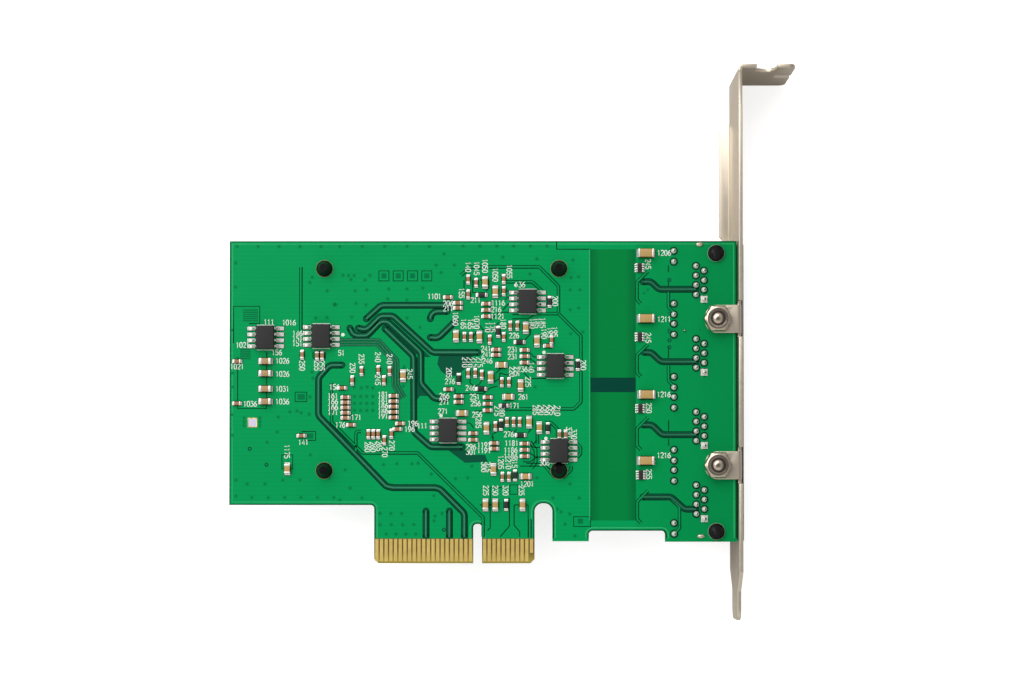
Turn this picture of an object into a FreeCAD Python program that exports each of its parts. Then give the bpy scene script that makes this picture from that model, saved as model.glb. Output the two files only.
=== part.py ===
"""Network interface card with four network ports on a full-height bracket.

Frame: millimetres. +Z leaves the solder side, +X leaves the bracket's outer face and
+Y runs towards the bracket's ear. The card lies component side down: the bracket's far
edge and the tips of the heat sink's fins stand on the plane Z = 0.
"""

import FreeCAD, Part
import math
import os

import Sketcher
from FreeCAD import Placement, Rotation, Vector

doc = FreeCAD.newDocument("network_interface_card")


class Size:
    """A length in millimetres, with the sheet expression that drives it."""

    def __init__(self, value, text):
        self.value = float(value)
        self.text = text

    def __neg__(self):
        return Size(-self.value, f"(-1 * {self.text})")

    def __add__(self, other):
        other = as_size(other)
        return Size(self.value + other.value, f"({self.text} + {other.text})")

    def __sub__(self, other):
        other = as_size(other)
        return Size(self.value - other.value, f"({self.text} - {other.text})")

    def __mul__(self, factor):
        return Size(self.value * factor, f"({self.text} * {factor})")

    def __truediv__(self, divisor):
        return Size(self.value / divisor, f"({self.text} / {divisor})")


def as_size(number):
    """A plain number as a Size."""
    if isinstance(number, Size):
        return number
    return Size(number, f"({number})")


ZERO = as_size(0.0)


# Driving dimensions

DIMENSIONS = {
    # Board
    "board_left": (60.44, "board end left of the origin"),
    "board_right": (47.97, "board end right of the origin"),
    "contact_edge_y": (-46.45, "lower edge of the contact tab"),
    "board_height": (68.9, "board height over the contact tab"),
    "board_thickness": (1.57, "board thickness"),
    "heel_rise": (12.45, "lower edge of the left part above the contact edge"),
    "hook_rise": (4.70, "lower edge of the hook tab above the contact edge"),
    "step_rise": (6.95, "lower edge of the middle part above the contact edge"),
    "port_rise": (4.60, "lower edge of the port part above the contact edge"),
    "tab_left_x": (-29.45, "left side of the contact tab"),
    "tab_right_x": (4.77, "right side of the contact tab"),
    "relief_width": (3.83, "slot between contact tab and hook tab"),
    "relief_depth": (12.80, "depth of that slot above the contact edge"),
    "hook_width": (7.75, "width of the hook tab"),
    "port_part_x": (32.7, "left side of the port part of the board"),
    "key_x": (-7.39, "centre of the key notch"),
    "key_width": (1.90, "width of the key notch"),
    "key_depth": (8.40, "depth of the key notch"),
    "inner_radius": (0.80, "radius at the board's inner corners"),
    "tab_corner": (0.90, "corner chamfer of the contact tab"),
    "edge_bevel": (0.35, "bevel at the contact edge"),
    # Edge contacts
    "finger_pitch": (1.0, "pitch of the edge contacts"),
    "finger_width": (0.70, "width of an edge contact"),
    "finger_plating": (0.05, "height of an edge contact"),
    "finger_margin": (0.40, "edge contact's distance from the contact edge"),
    "finger_top": (5.20, "upper end of the edge contacts above the contact edge"),
    "finger_key_gap": (1.50, "first edge contact from the key's centre, both sides"),
    "finger_short": (1.85, "shortening of the card-detect contacts"),
    # Bracket
    "bracket_face_x": (49.05, "outer face of the bracket"),
    "bracket_sheet": (0.86, "sheet thickness"),
    "bracket_width": (18.42, "width of the bracket"),
    "bracket_length": (118.80, "overall length of the bracket"),
    "tongue_reach": (12.34, "bracket's lower end below the contact edge"),
    "ear_length": (11.43, "ear beyond the outer face"),
    "ear_bend_radius": (1.30, "outer bend radius at the ear"),
    "ear_corner": (1.60, "corner radius of the ear"),
    "screw_notch_x": (5.30, "screw notch from the outer face"),
    "screw_notch_width": (4.42, "width of the screw notch"),
    "screw_notch_depth": (4.70, "depth of the screw notch"),
    "ear_slit_width": (2.10, "width of the slit in the ear's end"),
    "ear_slit_depth": (3.50, "depth of that slit"),
    "ear_slit_z": (8.20, "slit above the bracket's far edge"),
    "tongue_length": (10.50, "tongue below the start of the shoulders"),
    "shoulder_step": (4.11, "width lost at each shoulder"),
    "tongue_corner": (2.40, "corner radius of the tongue"),
    "edge_relief_depth": (0.30, "shallow recess of the near edge under the ear"),
    "edge_relief_length": (7.60, "length of that recess"),
    "solder_clearance": (2.50, "bracket's near edge above the solder side"),
    "flange_width": (3.20, "stiffening flange from the outer face"),
    "flange_drop": (9.91, "stiffening flange's upper end below the ear's face"),
    "flange_port_gap": (1.90, "flange's lower end above the jack"),
    "flange_chamfer": (1.60, "chamfer at the flange's upper end"),
    "bend_radius": (1.10, "outer bend radius of the tabs and the flange"),
    # Board tabs of the bracket and their screws
    "tab_width": (6.00, "width of a board tab"),
    "tab_reach": (7.95, "board tab from the outer face"),
    "tab_notch": (0.90, "relief notch beside a board tab"),
    "tab_screw_x": (5.25, "tab screw from the outer face"),
    "screw_diameter": (3.00, "tab screw diameter"),
    "screw_hole_clearance": (0.15, "radial clearance round a tab screw"),
    "screw_head_diameter": (5.40, "tab screw head diameter"),
    "screw_head_height": (1.70, "tab screw head height"),
    "screw_tip": (0.35, "tab screw's end above its nut"),
    "nut_flats": (5.50, "nut width across flats"),
    "nut_height": (1.80, "nut height"),
    # Four-port jack
    "port_pitch": (15.63, "pitch of the ports"),
    "first_port_y": (13.53, "centre of the first port"),
    "port_count": (4, "number of ports"),
    "jack_height": (12.50, "jack height under the board"),
    "jack_front": (0.60, "jack front beyond the bracket's outer face"),
    "jack_depth": (18.60, "depth of the jack"),
    "jack_end_wall": (8.30, "jack end beyond the outer port centre"),
    "shield_sheet": (0.25, "thickness of the jack shield"),
    "window_clearance": (0.25, "gap round the jack in the bracket's window"),
    "port_width": (11.90, "width of a port's mouth"),
    "port_height": (6.90, "height of a port's mouth"),
    "port_depth": (13.00, "depth of a port"),
    "port_roof": (1.40, "jack wall between a port and the jack's far face"),
    "latch_width": (6.20, "width of the wide latch step"),
    "latch_height": (0.70, "height of the latch step"),
    "latch_depth": (9.00, "depth of the latch step"),
    "contact_width": (0.45, "width of a port contact"),
    "contact_thickness": (0.30, "thickness of a port contact"),
    "contact_pitch": (1.02, "pitch of the port contacts"),
    "contact_count": (8, "contacts of a port"),
    "contact_row_x": (39.30, "first row of contact tails"),
    "contact_row_step": (1.71, "second row of contact tails from the first"),
    "contact_drop": (2.20, "free end of a port contact inside the port"),
    "head_pocket_gap": (0.30, "clearance round a tab screw's head in the jack"),
    "peg_diameter": (3.40, "locating peg diameter"),
    "peg_clearance": (0.10, "radial clearance round a locating peg"),
    "peg_stand": (0.70, "locating peg above the solder side"),
    "peg_x": (43.58, "locating pegs from the origin"),
    "peg_inset": (2.00, "locating pegs from the jack's ends"),
    "lamp_offset": (5.65, "indicator window from the port's centre"),
    "lamp_width": (2.60, "indicator window width"),
    "lamp_height": (1.05, "indicator window height"),
    "lamp_reach": (15.00, "indicator light guide length"),
    "lamp_gap": (0.10, "gap round an indicator's light guide"),
    "lamp_roof": (0.40, "indicator windows from the jack's far face"),
    "lamp_row_x": (34.55, "row of indicator legs"),
    "lamp_leg_spread": (2.30, "distance of an indicator's two legs"),
    # Solder joints
    "joint_base": (0.62, "radius of a solder joint on the board"),
    "joint_tip": (0.28, "radius of a solder joint at its tip"),
    "joint_height": (1.10, "height of a solder joint"),
    # Heat sink and its push pins
    "sink_x": (-15.08, "centre of the heat sink"),
    "sink_y": (-5.05, "centre of the heat sink"),
    "sink_length": (58.40, "heat sink length"),
    "sink_width": (51.40, "heat sink width"),
    "sink_base": (2.50, "heat sink base thickness"),
    "fin_thickness": (1.20, "fin thickness"),
    "fin_count": (16, "number of fins"),
    "pin_inset_x": (4.115, "push pins from the sink's ends"),
    "pin_inset_y": (4.10, "push pins from the sink's sides"),
    "pin_diameter": (2.80, "push pin shaft diameter"),
    "pin_hole_clearance": (0.12, "radial clearance round a push pin"),
    "pin_tip_diameter": (3.40, "push pin barb diameter"),
    "pin_tip_height": (2.20, "push pin barb height above the solder side"),
    "pin_head_diameter": (6.00, "push pin head diameter"),
    "pin_head_height": (1.40, "push pin head height"),
    "spring_length": (4.60, "length of the pressed spring"),
    "spring_diameter": (4.80, "mean spring diameter"),
    "spring_wire": (0.50, "spring wire diameter"),
    "spring_turns": (3, "turns of a spring"),
    "corner_clear": (8.00, "fin-free square round a push pin"),
    # Chips under the heat sink
    "chip_height": (2.10, "height of the large chips"),
    "pad_thickness": (0.40, "thermal pad thickness"),
    "switch_side": (19.00, "side of the switch chip"),
    "switch_inset": (13.68, "switch chip's centre from the sink's left end"),
    "switch_y": (-13.10, "switch chip centre"),
    "controller_side": (17.00, "side of a controller chip"),
    "controller_inset": (20.12, "controller chips' centre from the sink's right end"),
    "controller_upper_y": (6.60, "upper controller chip centre"),
    "controller_lower_y": (-12.40, "lower controller chip centre"),
    "lid_inset": (1.20, "moulded cover inside the chip's carrier, each side"),
    "carrier_thickness": (0.90, "thickness of a chip's carrier"),
    # Magnetics modules
    "magnetics_gap": (2.88, "mouldings of the magnetics modules from the sink's right end"),
    "magnetics_first_y": (13.30, "first magnetics module's centre"),
    "magnetics_pitch": (14.50, "pitch of the magnetics modules"),
    "magnetics_length": (12.60, "module length"),
    "magnetics_width": (9.20, "module width"),
    "magnetics_height": (5.60, "module height"),
    "magnetics_lead_count": (6, "leads on each side"),
    "magnetics_lead_pitch": (2.00, "lead pitch"),
    # Eight-lead chips
    "small_chip_length": (4.90, "eight-lead chip length"),
    "small_chip_width": (3.90, "eight-lead chip width"),
    "small_chip_height": (1.55, "eight-lead chip height"),
    "small_chip_stand": (0.12, "gap under the moulding"),
    "small_chip_span": (6.00, "over the leads"),
    "small_chip_pitch": (1.27, "lead pitch"),
    "chip_above_pin": (4.20, "last chip's centre above the push pin that it stands by"),
    "lead_width": (0.42, "lead width"),
    "lead_thickness": (0.22, "lead thickness"),
    "lead_foot": (0.70, "foot of a lead"),
    # Chip parts of the solder side: length, width and height
    "tiny_length": (1.60, "smallest capacitor"),
    "tiny_width": (0.80, "smallest capacitor"),
    "tiny_height": (0.50, "smallest capacitor"),
    "resistor_length": (2.00, "chip resistor"),
    "resistor_width": (0.85, "chip resistor"),
    "resistor_height": (0.45, "chip resistor"),
    "bead_length": (1.60, "ferrite bead"),
    "bead_width": (0.85, "ferrite bead, and its height"),
    "network_length": (2.00, "resistor network"),
    "network_width": (1.55, "resistor network"),
    "small_length": (2.00, "small capacitor"),
    "small_width": (1.25, "small capacitor"),
    "small_height": (0.80, "small capacitor"),
    "small_end": (0.50, "small capacitor's plated end"),
    "power_length": (2.50, "power capacitor"),
    "power_width": (1.30, "power capacitor"),
    "power_height": (1.20, "power capacitor"),
    "power_end": (0.70, "power capacitor's plated end"),
    "surge_length": (3.30, "surge capacitor"),
    "surge_width": (1.80, "surge capacitor"),
    "surge_height": (1.50, "surge capacitor"),
    "surge_end": (0.55, "surge capacitor's plated end"),
    # Left end of the component side
    "power_inset": (7.74, "column of power parts from the board's left end"),
    "power_pitch": (6.50, "pitch of the polymer capacitors"),
    "inductor_pitch": (10.00, "pitch of the power inductors"),
    "inductor_inset": (7.95, "upper power inductor below the board's upper edge"),
    "polymer_inset": (8.00, "upper polymer capacitor below the lower power inductor"),
    "crystal_drop": (6.20, "left crystal below the last polymer capacitor"),
    "edge_crystal_gap": (9.20, "lower crystal left of the magnetics modules' centres"),
    "edge_crystal_rise": (10.05, "lower crystal above the contact edge"),
    "inductor_side": (6.80, "power inductor side"),
    "inductor_height": (4.80, "power inductor height"),
    "polymer_length": (7.30, "polymer capacitor length"),
    "polymer_width": (4.30, "polymer capacitor width"),
    "polymer_height": (2.80, "polymer capacitor height"),
    "crystal_length": (8.00, "crystal length"),
    "crystal_width": (4.50, "crystal width"),
    "crystal_height": (1.80, "crystal height"),
}


def fill_sheet():
    """Writes every driving dimension to its own named cell."""
    cells = doc.addObject("Spreadsheet::Sheet", "Dimensions")
    sizes = {}
    for row, (alias, (value, note)) in enumerate(DIMENSIONS.items(), start=1):
        cells.set(f"A{row}", note)
        cells.set(f"B{row}", str(value))
        cells.setAlias(f"B{row}", alias)
        sizes[alias] = Size(value, f"Dimensions.{alias}")
    doc.recompute()
    return sizes


class Named:
    """Gives each size of the sheet as an attribute."""

    def __init__(self, sizes):
        self.__dict__.update(sizes)


d = Named(fill_sheet())


# Levels and faces that several pieces share

COMPONENT_Z = d.bracket_width - d.solder_clearance - d.board_thickness
SOLDER_Z = COMPONENT_Z + d.board_thickness
BOARD_TOP_Y = d.contact_edge_y + d.board_height
BRACKET_INNER_X = d.bracket_face_x - d.bracket_sheet
BRACKET_TIP_Y = d.contact_edge_y - d.tongue_reach
BRACKET_TOP_Y = BRACKET_TIP_Y + d.bracket_length
JACK_FRONT_X = d.bracket_face_x + d.jack_front
JACK_REAR_X = JACK_FRONT_X - d.jack_depth
JACK_UPPER_Y = d.first_port_y + d.jack_end_wall
JACK_LOWER_Y = d.first_port_y - d.port_pitch * (DIMENSIONS["port_count"][0] - 1) - d.jack_end_wall
JACK_FAR_Z = COMPONENT_Z - d.jack_height
LAMP_Z = JACK_FAR_Z + d.lamp_roof
TAB_TOP_Z = SOLDER_Z + d.bracket_sheet
TAB_SCREW_X = d.bracket_face_x - d.tab_screw_x
SINK_BASE_TOP_Z = COMPONENT_Z - d.chip_height - d.pad_thickness
SINK_BASE_Z = SINK_BASE_TOP_Z - d.sink_base
PORT_COUNT = DIMENSIONS["port_count"][0]
PORTS_Y = [d.first_port_y - d.port_pitch * number for number in range(PORT_COUNT)]
TAB_CENTRES_Y = [(PORTS_Y[0] + PORTS_Y[1]) / 2, (PORTS_Y[2] + PORTS_Y[3]) / 2]
PEGS_Y = [JACK_UPPER_Y - d.peg_inset, JACK_LOWER_Y + d.peg_inset]
SINK_LEFT = d.sink_x - d.sink_length / 2
SINK_RIGHT = d.sink_x + d.sink_length / 2
PIN_REACH_X = d.sink_length / 2 - d.pin_inset_x
PIN_REACH_Y = d.sink_width / 2 - d.pin_inset_y
PUSH_PINS = [
    (d.sink_x + PIN_REACH_X * across, d.sink_y + PIN_REACH_Y * along)
    for across in (-1, 1)
    for along in (-1, 1)
]
POWER_X = d.power_inset - d.board_left
INDUCTORS_Y = [BOARD_TOP_Y - d.inductor_inset - d.inductor_pitch * number for number in range(2)]
POLYMERS_Y = [INDUCTORS_Y[1] - d.polymer_inset - d.power_pitch * number for number in range(4)]
MAGNETICS_X = SINK_RIGHT + d.magnetics_gap + d.magnetics_width / 2
MAGNETICS_Y = [d.magnetics_first_y - d.magnetics_pitch * number for number in range(PORT_COUNT)]


# Ways of building

def point(*sizes):
    """The place that the sizes stand for."""
    return Vector(*[as_size(size).value for size in sizes])


def bind(item, **sizes):
    """Binds properties of an object to the sheet."""
    for name, size in sizes.items():
        item.setExpression(name, as_size(size).text)


def settle(item, corner):
    """Binds an object's place to the sheet."""
    for axis, size in zip("xyz", corner):
        item.setExpression(f"Placement.Base.{axis}", as_size(size).text)


def block(label, corner, extent):
    """A box from its lowest corner and its three extents."""
    item = doc.addObject("Part::Box", label)
    length, width, height = extent
    bind(item, Length=length, Width=width, Height=height)
    settle(item, corner)
    return item


def rod(label, radius, height, base):
    """An upright cylinder on the centre of its lower face."""
    item = doc.addObject("Part::Cylinder", label)
    bind(item, Radius=radius, Height=height)
    settle(item, base)
    return item


def cone(label, lower, upper, height, base):
    """An upright cone frustum."""
    item = doc.addObject("Part::Cone", label)
    bind(item, Radius1=lower, Radius2=upper, Height=height)
    settle(item, base)
    return item


def fuse(label, pieces):
    """One piece from several that touch or overlap."""
    item = doc.addObject("Part::MultiFuse", label)
    item.Shapes = pieces
    item.Refine = True
    return item


def cut(label, base, tools):
    """The base without its tools."""
    item = doc.addObject("Part::Cut", label)
    item.Base = base
    item.Tool = tools[0] if len(tools) == 1 else fuse(f"{label}_tools", tools)
    item.Refine = True
    return item


def copies(label, pattern, places):
    """Like pieces as one group: a copy of the pattern at each place, turned about Z."""
    doc.recompute()
    shapes = []
    for place in places:
        x, y, z = place[:3]
        turn = place[3] if len(place) > 3 else 0.0
        shape = pattern.Shape.copy()
        spot = Placement(point(x, y, z), Rotation(Vector(0, 0, 1), turn))
        shape.Placement = spot.multiply(shape.Placement)
        shapes.append(shape)
    group = doc.addObject("Part::Feature", label)
    group.Shape = Part.makeCompound(shapes)
    return group


def new_body(label):
    """An empty body."""
    return doc.addObject("PartDesign::Body", label)


def sketch_on(body, name, plane, offset=ZERO):
    """A sketch on one of the body's own planes, moved along the plane's normal."""
    sketch = body.newObject("Sketcher::SketchObject", name)
    origin_plane = next(item for item in body.Origin.OriginFeatures if item.Role == plane)
    sketch.AttachmentSupport = [(origin_plane, "")]
    sketch.MapMode = "FlatFace"
    bind(sketch, **{"AttachmentOffset.Base.z": offset})
    return sketch


def pin_down(sketch, index, end, u, v):
    """Holds one point of a sketch at bound distances from the sketch's origin."""
    for kind, size in (("DistanceX", as_size(u)), ("DistanceY", as_size(v))):
        number = sketch.addConstraint(Sketcher.Constraint(kind, -1, 1, index, end, size.value))
        sketch.setExpression(f"Constraints[{number}]", size.text)


def outline(sketch, corners):
    """A closed outline of straight edges whose corners are bound to the sheet."""
    start = sketch.GeometryCount
    count = len(corners)
    for number, corner in enumerate(corners):
        following = corners[(number + 1) % count]
        sketch.addGeometry(Part.LineSegment(point(*corner, 0), point(*following, 0)), False)
    for number in range(count):
        following = start + (number + 1) % count
        sketch.addConstraint(Sketcher.Constraint("Coincident", start + number, 2, following, 1))
    for number, (u, v) in enumerate(corners):
        pin_down(sketch, start + number, 1, u, v)


def rectangle(sketch, low, high):
    """A rectangle between two opposite corners."""
    outline(sketch, [low, (high[0], low[1]), high, (low[0], high[1])])


def circle(sketch, centre, radius):
    """A circle with bound centre and radius."""
    number = sketch.addGeometry(Part.Circle(point(*centre, 0), Vector(0, 0, 1), radius.value), False)
    pin_down(sketch, number, 3, *centre)
    held = sketch.addConstraint(Sketcher.Constraint("Radius", number, radius.value))
    sketch.setExpression(f"Constraints[{held}]", radius.text)


def pad(body, name, sketch, length, midplane=False):
    """Material from a sketch along its normal."""
    feature = body.newObject("PartDesign::Pad", name)
    feature.Profile = sketch
    feature.Midplane = midplane
    bind(feature, Length=length)
    sketch.Visibility = False
    doc.recompute()
    return feature


def pocket(body, name, sketch, length):
    """Takes material away on both sides of a sketch, half the length each way."""
    feature = body.newObject("PartDesign::Pocket", name)
    feature.Profile = sketch
    feature.Midplane = True
    bind(feature, Length=length)
    sketch.Visibility = False
    before = body.Shape.Volume
    doc.recompute()
    if body.Shape.Volume >= before:
        raise RuntimeError(f"{name} takes nothing away")
    return feature


def edges_along(shape, axis, spots):
    """Names of the straight edges along an axis that pass through the given spots.

    A spot gives the two coordinates across the axis, in the order X, Y, Z.
    """
    across = [number for number in range(3) if number != "XYZ".index(axis)]
    found = []
    for number, edge in enumerate(shape.Edges, start=1):
        first, last = edge.Vertexes[0].Point, edge.Vertexes[-1].Point
        if any(abs(first[side] - last[side]) > 1e-4 for side in across):
            continue
        for spot in spots:
            if all(abs(first[side] - as_size(size).value) < 1e-3 for side, size in zip(across, spot)):
                found.append(f"Edge{number}")
    return found


def dress(body, kind, name, edges, size):
    """A fillet or a chamfer on named edges of the body's last feature."""
    if not edges:
        raise RuntimeError(f"{name} finds no edge")
    base = body.Tip
    feature = body.newObject(f"PartDesign::{kind}", name)
    feature.Base = (base, edges)
    bind(feature, **{"Radius" if kind == "Fillet" else "Size": size})
    doc.recompute()
    if "Invalid" in feature.State:
        raise RuntimeError(f"{name} can't be made at this size")
    return feature


# Board

def circuit_board():
    """The board: contact tab with its key, hook tab, and the holes for pegs, pins and screws."""
    body = new_body("circuit_board")
    left = -d.board_left
    heel = d.contact_edge_y + d.heel_rise
    hook = d.contact_edge_y + d.hook_rise
    step = d.contact_edge_y + d.step_rise
    port_edge = d.contact_edge_y + d.port_rise
    relief_top = d.contact_edge_y + d.relief_depth
    hook_left = d.tab_right_x + d.relief_width
    hook_right = hook_left + d.hook_width
    key_left = d.key_x - d.key_width / 2
    key_right = d.key_x + d.key_width / 2
    key_top = d.contact_edge_y + d.key_depth

    sketch = sketch_on(body, "board_outline", "XY_Plane", COMPONENT_Z)
    outline(sketch, [
        (left, BOARD_TOP_Y),
        (left, heel),
        (d.tab_left_x, heel),
        (d.tab_left_x, d.contact_edge_y),
        (key_left, d.contact_edge_y),
        (key_left, key_top),
        (key_right, key_top),
        (key_right, d.contact_edge_y),
        (d.tab_right_x, d.contact_edge_y),
        (d.tab_right_x, relief_top),
        (hook_left, relief_top),
        (hook_left, hook),
        (hook_right, hook),
        (hook_right, step),
        (d.port_part_x, step),
        (d.port_part_x, port_edge),
        (d.board_right, port_edge),
        (d.board_right, BOARD_TOP_Y),
    ])
    pad(body, "board_sheet", sketch, d.board_thickness)

    holes = sketch_on(body, "board_holes", "XY_Plane", SOLDER_Z)
    for x, y in PUSH_PINS:
        circle(holes, (x, y), d.pin_diameter / 2 + d.pin_hole_clearance)
    for y in PEGS_Y:
        circle(holes, (d.peg_x, y), d.peg_diameter / 2 + d.peg_clearance)
    for y in TAB_CENTRES_Y:
        circle(holes, (TAB_SCREW_X, y), d.screw_diameter / 2 + d.screw_hole_clearance)
    pocket(body, "drilled_holes", holes, d.board_thickness * 3)

    rounded = edges_along(body.Shape, "Z", [(d.tab_left_x, heel), (hook_right, step)])
    rounded += edges_along(body.Shape, "Z", [(d.port_part_x, step), (key_left, key_top)])
    rounded += edges_along(body.Shape, "Z", [(key_right, key_top)])
    dress(body, "Fillet", "inner_corners", rounded, d.inner_radius)
    relief = edges_along(body.Shape, "Z", [(d.tab_right_x, relief_top), (hook_left, relief_top)])
    dress(body, "Fillet", "relief_end", relief, d.relief_width * 0.45)
    corners = edges_along(
        body.Shape, "Z", [(d.tab_left_x, d.contact_edge_y), (d.tab_right_x, d.contact_edge_y)]
    )
    dress(body, "Chamfer", "tab_corners", corners, d.tab_corner)
    bevels = edges_along(
        body.Shape, "X", [(d.contact_edge_y, SOLDER_Z), (d.contact_edge_y, COMPONENT_Z)]
    )
    dress(body, "Chamfer", "contact_bevel", bevels, d.edge_bevel)
    return body


def edge_contacts(label, z):
    """The gold contacts on one side of the tab: eleven short-side and twenty-one long-side."""
    length = d.finger_top - d.finger_margin
    size = (d.finger_width, length, d.finger_plating)
    corner = (d.finger_width / -2, d.finger_margin + d.contact_edge_y, z)
    finger = block(f"{label}_pattern", corner, size)
    short_corner = (corner[0], corner[1] + d.finger_short, z)
    short = block(f"{label}_short_pattern", short_corner, (size[0], length - d.finger_short, size[2]))
    right = [d.key_x + d.finger_key_gap + d.finger_pitch * number for number in range(11)]
    left = [d.key_x - d.finger_key_gap - d.finger_pitch * number for number in range(21)]
    detect = right.pop()
    full = copies(f"{label}_full", finger, [(x, ZERO, ZERO) for x in right + left])
    group = doc.addObject("Part::Feature", label)
    group.Shape = Part.makeCompound(full.Shape.Solids + [moved(short, detect)])
    return group


def moved(item, x):
    """A copy of an object's shape, carried along X."""
    shape = item.Shape.copy()
    shape.translate(point(x, 0, 0))
    return shape


# Bracket

def mounting_bracket():
    """One folded sheet: plate, ear, stiffening flange, two board tabs, port window and tongue."""
    body = new_body("mounting_bracket")
    face = d.bracket_face_x
    ear_low = BRACKET_TOP_Y - d.bracket_sheet
    tip = BRACKET_TIP_Y
    shoulder = tip + d.tongue_length
    ear_end = face + d.ear_length

    profile = sketch_on(body, "sheet_profile", "XY_Plane")
    outline(profile, [
        (BRACKET_INNER_X, tip),
        (face, tip),
        (face, ear_low),
        (ear_end, ear_low),
        (ear_end, BRACKET_TOP_Y),
        (BRACKET_INNER_X, BRACKET_TOP_Y),
    ])
    pad(body, "folded_sheet", profile, d.bracket_width)

    far_corner = shoulder - d.shoulder_step
    near_z = d.bracket_width - d.shoulder_step
    spare = d.bracket_width / 10
    for name, edge_z, inner_z, out in (
        ("near", d.bracket_width, near_z, spare),
        ("far", ZERO, d.shoulder_step, -spare),
    ):
        side = sketch_on(body, f"{name}_shoulder_outline", "YZ_Plane", face)
        outline(side, [
            (shoulder, edge_z),
            (far_corner, inner_z),
            (tip - spare, inner_z),
            (tip - spare, edge_z + out),
            (shoulder, edge_z + out),
        ])
        pocket(body, f"{name}_shoulder", side, d.bracket_sheet * 6)

    window = sketch_on(body, "window_outline", "YZ_Plane", face)
    rectangle(
        window,
        (JACK_LOWER_Y - d.window_clearance, JACK_FAR_Z - d.window_clearance),
        (JACK_UPPER_Y + d.window_clearance, COMPONENT_Z + d.window_clearance),
    )
    pocket(body, "port_window", window, d.bracket_sheet * 6)

    notch = sketch_on(body, "screw_notch_outline", "XZ_Plane", -BRACKET_TOP_Y)
    notch_x = face + d.screw_notch_x
    rectangle(
        notch,
        (notch_x - d.screw_notch_width / 2, d.bracket_width - d.screw_notch_depth),
        (notch_x + d.screw_notch_width / 2, d.bracket_width + spare),
    )
    pocket(body, "screw_notch", notch, d.bracket_sheet * 6)

    slit = sketch_on(body, "ear_slit_outline", "XZ_Plane", -BRACKET_TOP_Y)
    rectangle(
        slit,
        (ear_end - d.ear_slit_depth, d.ear_slit_z),
        (ear_end + spare, d.ear_slit_z + d.ear_slit_width),
    )
    pocket(body, "ear_slit", slit, d.bracket_sheet * 6)

    relief = sketch_on(body, "edge_relief_outline", "YZ_Plane", face)
    rectangle(
        relief,
        (ear_low - d.edge_relief_length, d.bracket_width - d.edge_relief_depth),
        (ear_low - d.edge_relief_length * 0.1, d.bracket_width + spare),
    )
    pocket(body, "edge_relief", relief, d.bracket_sheet * 6)

    notch_low = d.bracket_width - d.screw_notch_depth
    rounded = edges_along(body.Shape, "Y", [
        (notch_x - d.screw_notch_width / 2, notch_low),
        (notch_x + d.screw_notch_width / 2, notch_low),
    ])
    dress(body, "Fillet", "notch_round", rounded, d.screw_notch_width * 0.47)
    corners = edges_along(body.Shape, "Y", [(ear_end, ZERO), (ear_end, d.bracket_width)])
    dress(body, "Fillet", "ear_corners", corners, d.ear_corner)
    bend = edges_along(body.Shape, "Z", [(BRACKET_INNER_X, BRACKET_TOP_Y)])
    dress(body, "Fillet", "ear_bend", bend, d.ear_bend_radius)
    tongue = edges_along(body.Shape, "X", [(tip, d.shoulder_step), (tip, near_z)])
    dress(body, "Fillet", "tongue_corners", tongue, d.tongue_corner)

    for name, centre in zip(("upper", "lower"), TAB_CENTRES_Y):
        board_tab(body, name, centre)
    stiffening_flange(body)
    return body


def board_tab(body, name, centre):
    """A tab folded from the bracket's near edge onto the solder side, with its screw hole."""
    face = d.bracket_face_x
    half = d.tab_width / 2
    root_z = COMPONENT_Z + d.window_clearance
    opened = sketch_on(body, f"{name}_tab_opening", "YZ_Plane", face)
    rectangle(
        opened,
        (centre - half - d.tab_notch, root_z + d.bracket_sheet),
        (centre + half + d.tab_notch, d.bracket_width * 1.1),
    )
    pocket(body, f"{name}_tab_relief", opened, d.bracket_sheet * 6)

    fold = sketch_on(body, f"{name}_tab_profile", "XZ_Plane", -centre)
    outline(fold, [
        (face - d.tab_reach, SOLDER_Z),
        (BRACKET_INNER_X, SOLDER_Z),
        (BRACKET_INNER_X, root_z),
        (face, root_z),
        (face, TAB_TOP_Z),
        (face - d.tab_reach, TAB_TOP_Z),
    ])
    pad(body, f"{name}_tab", fold, d.tab_width, midplane=True)
    tab_end = face - d.tab_reach
    ends = edges_along(body.Shape, "Z", [(tab_end, centre - half), (tab_end, centre + half)])
    dress(body, "Fillet", f"{name}_tab_end", ends, d.tab_width * 0.44)
    bend = edges_along(body.Shape, "Y", [(face, TAB_TOP_Z)])
    dress(body, "Fillet", f"{name}_tab_bend", bend, d.bend_radius)
    hole = sketch_on(body, f"{name}_tab_hole_outline", "XY_Plane", TAB_TOP_Z)
    circle(hole, (TAB_SCREW_X, centre), d.screw_diameter / 2 + d.screw_hole_clearance)
    pocket(body, f"{name}_tab_hole", hole, d.bracket_sheet * 3)


def stiffening_flange(body):
    """The narrow flange folded inwards along the far edge, above the ports."""
    face = d.bracket_face_x
    flange_top_y = BRACKET_TOP_Y - d.flange_drop
    low = JACK_UPPER_Y + d.flange_port_gap
    profile = sketch_on(body, "flange_outline", "XY_Plane")
    inner = face - d.flange_width
    outline(profile, [
        (BRACKET_INNER_X, low),
        (BRACKET_INNER_X, flange_top_y),
        (inner + d.flange_chamfer, flange_top_y),
        (inner, flange_top_y - d.flange_chamfer),
        (inner, low + d.flange_chamfer),
        (inner + d.flange_chamfer, low),
    ])
    pad(body, "stiffening_flange", profile, d.bracket_sheet)


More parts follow.
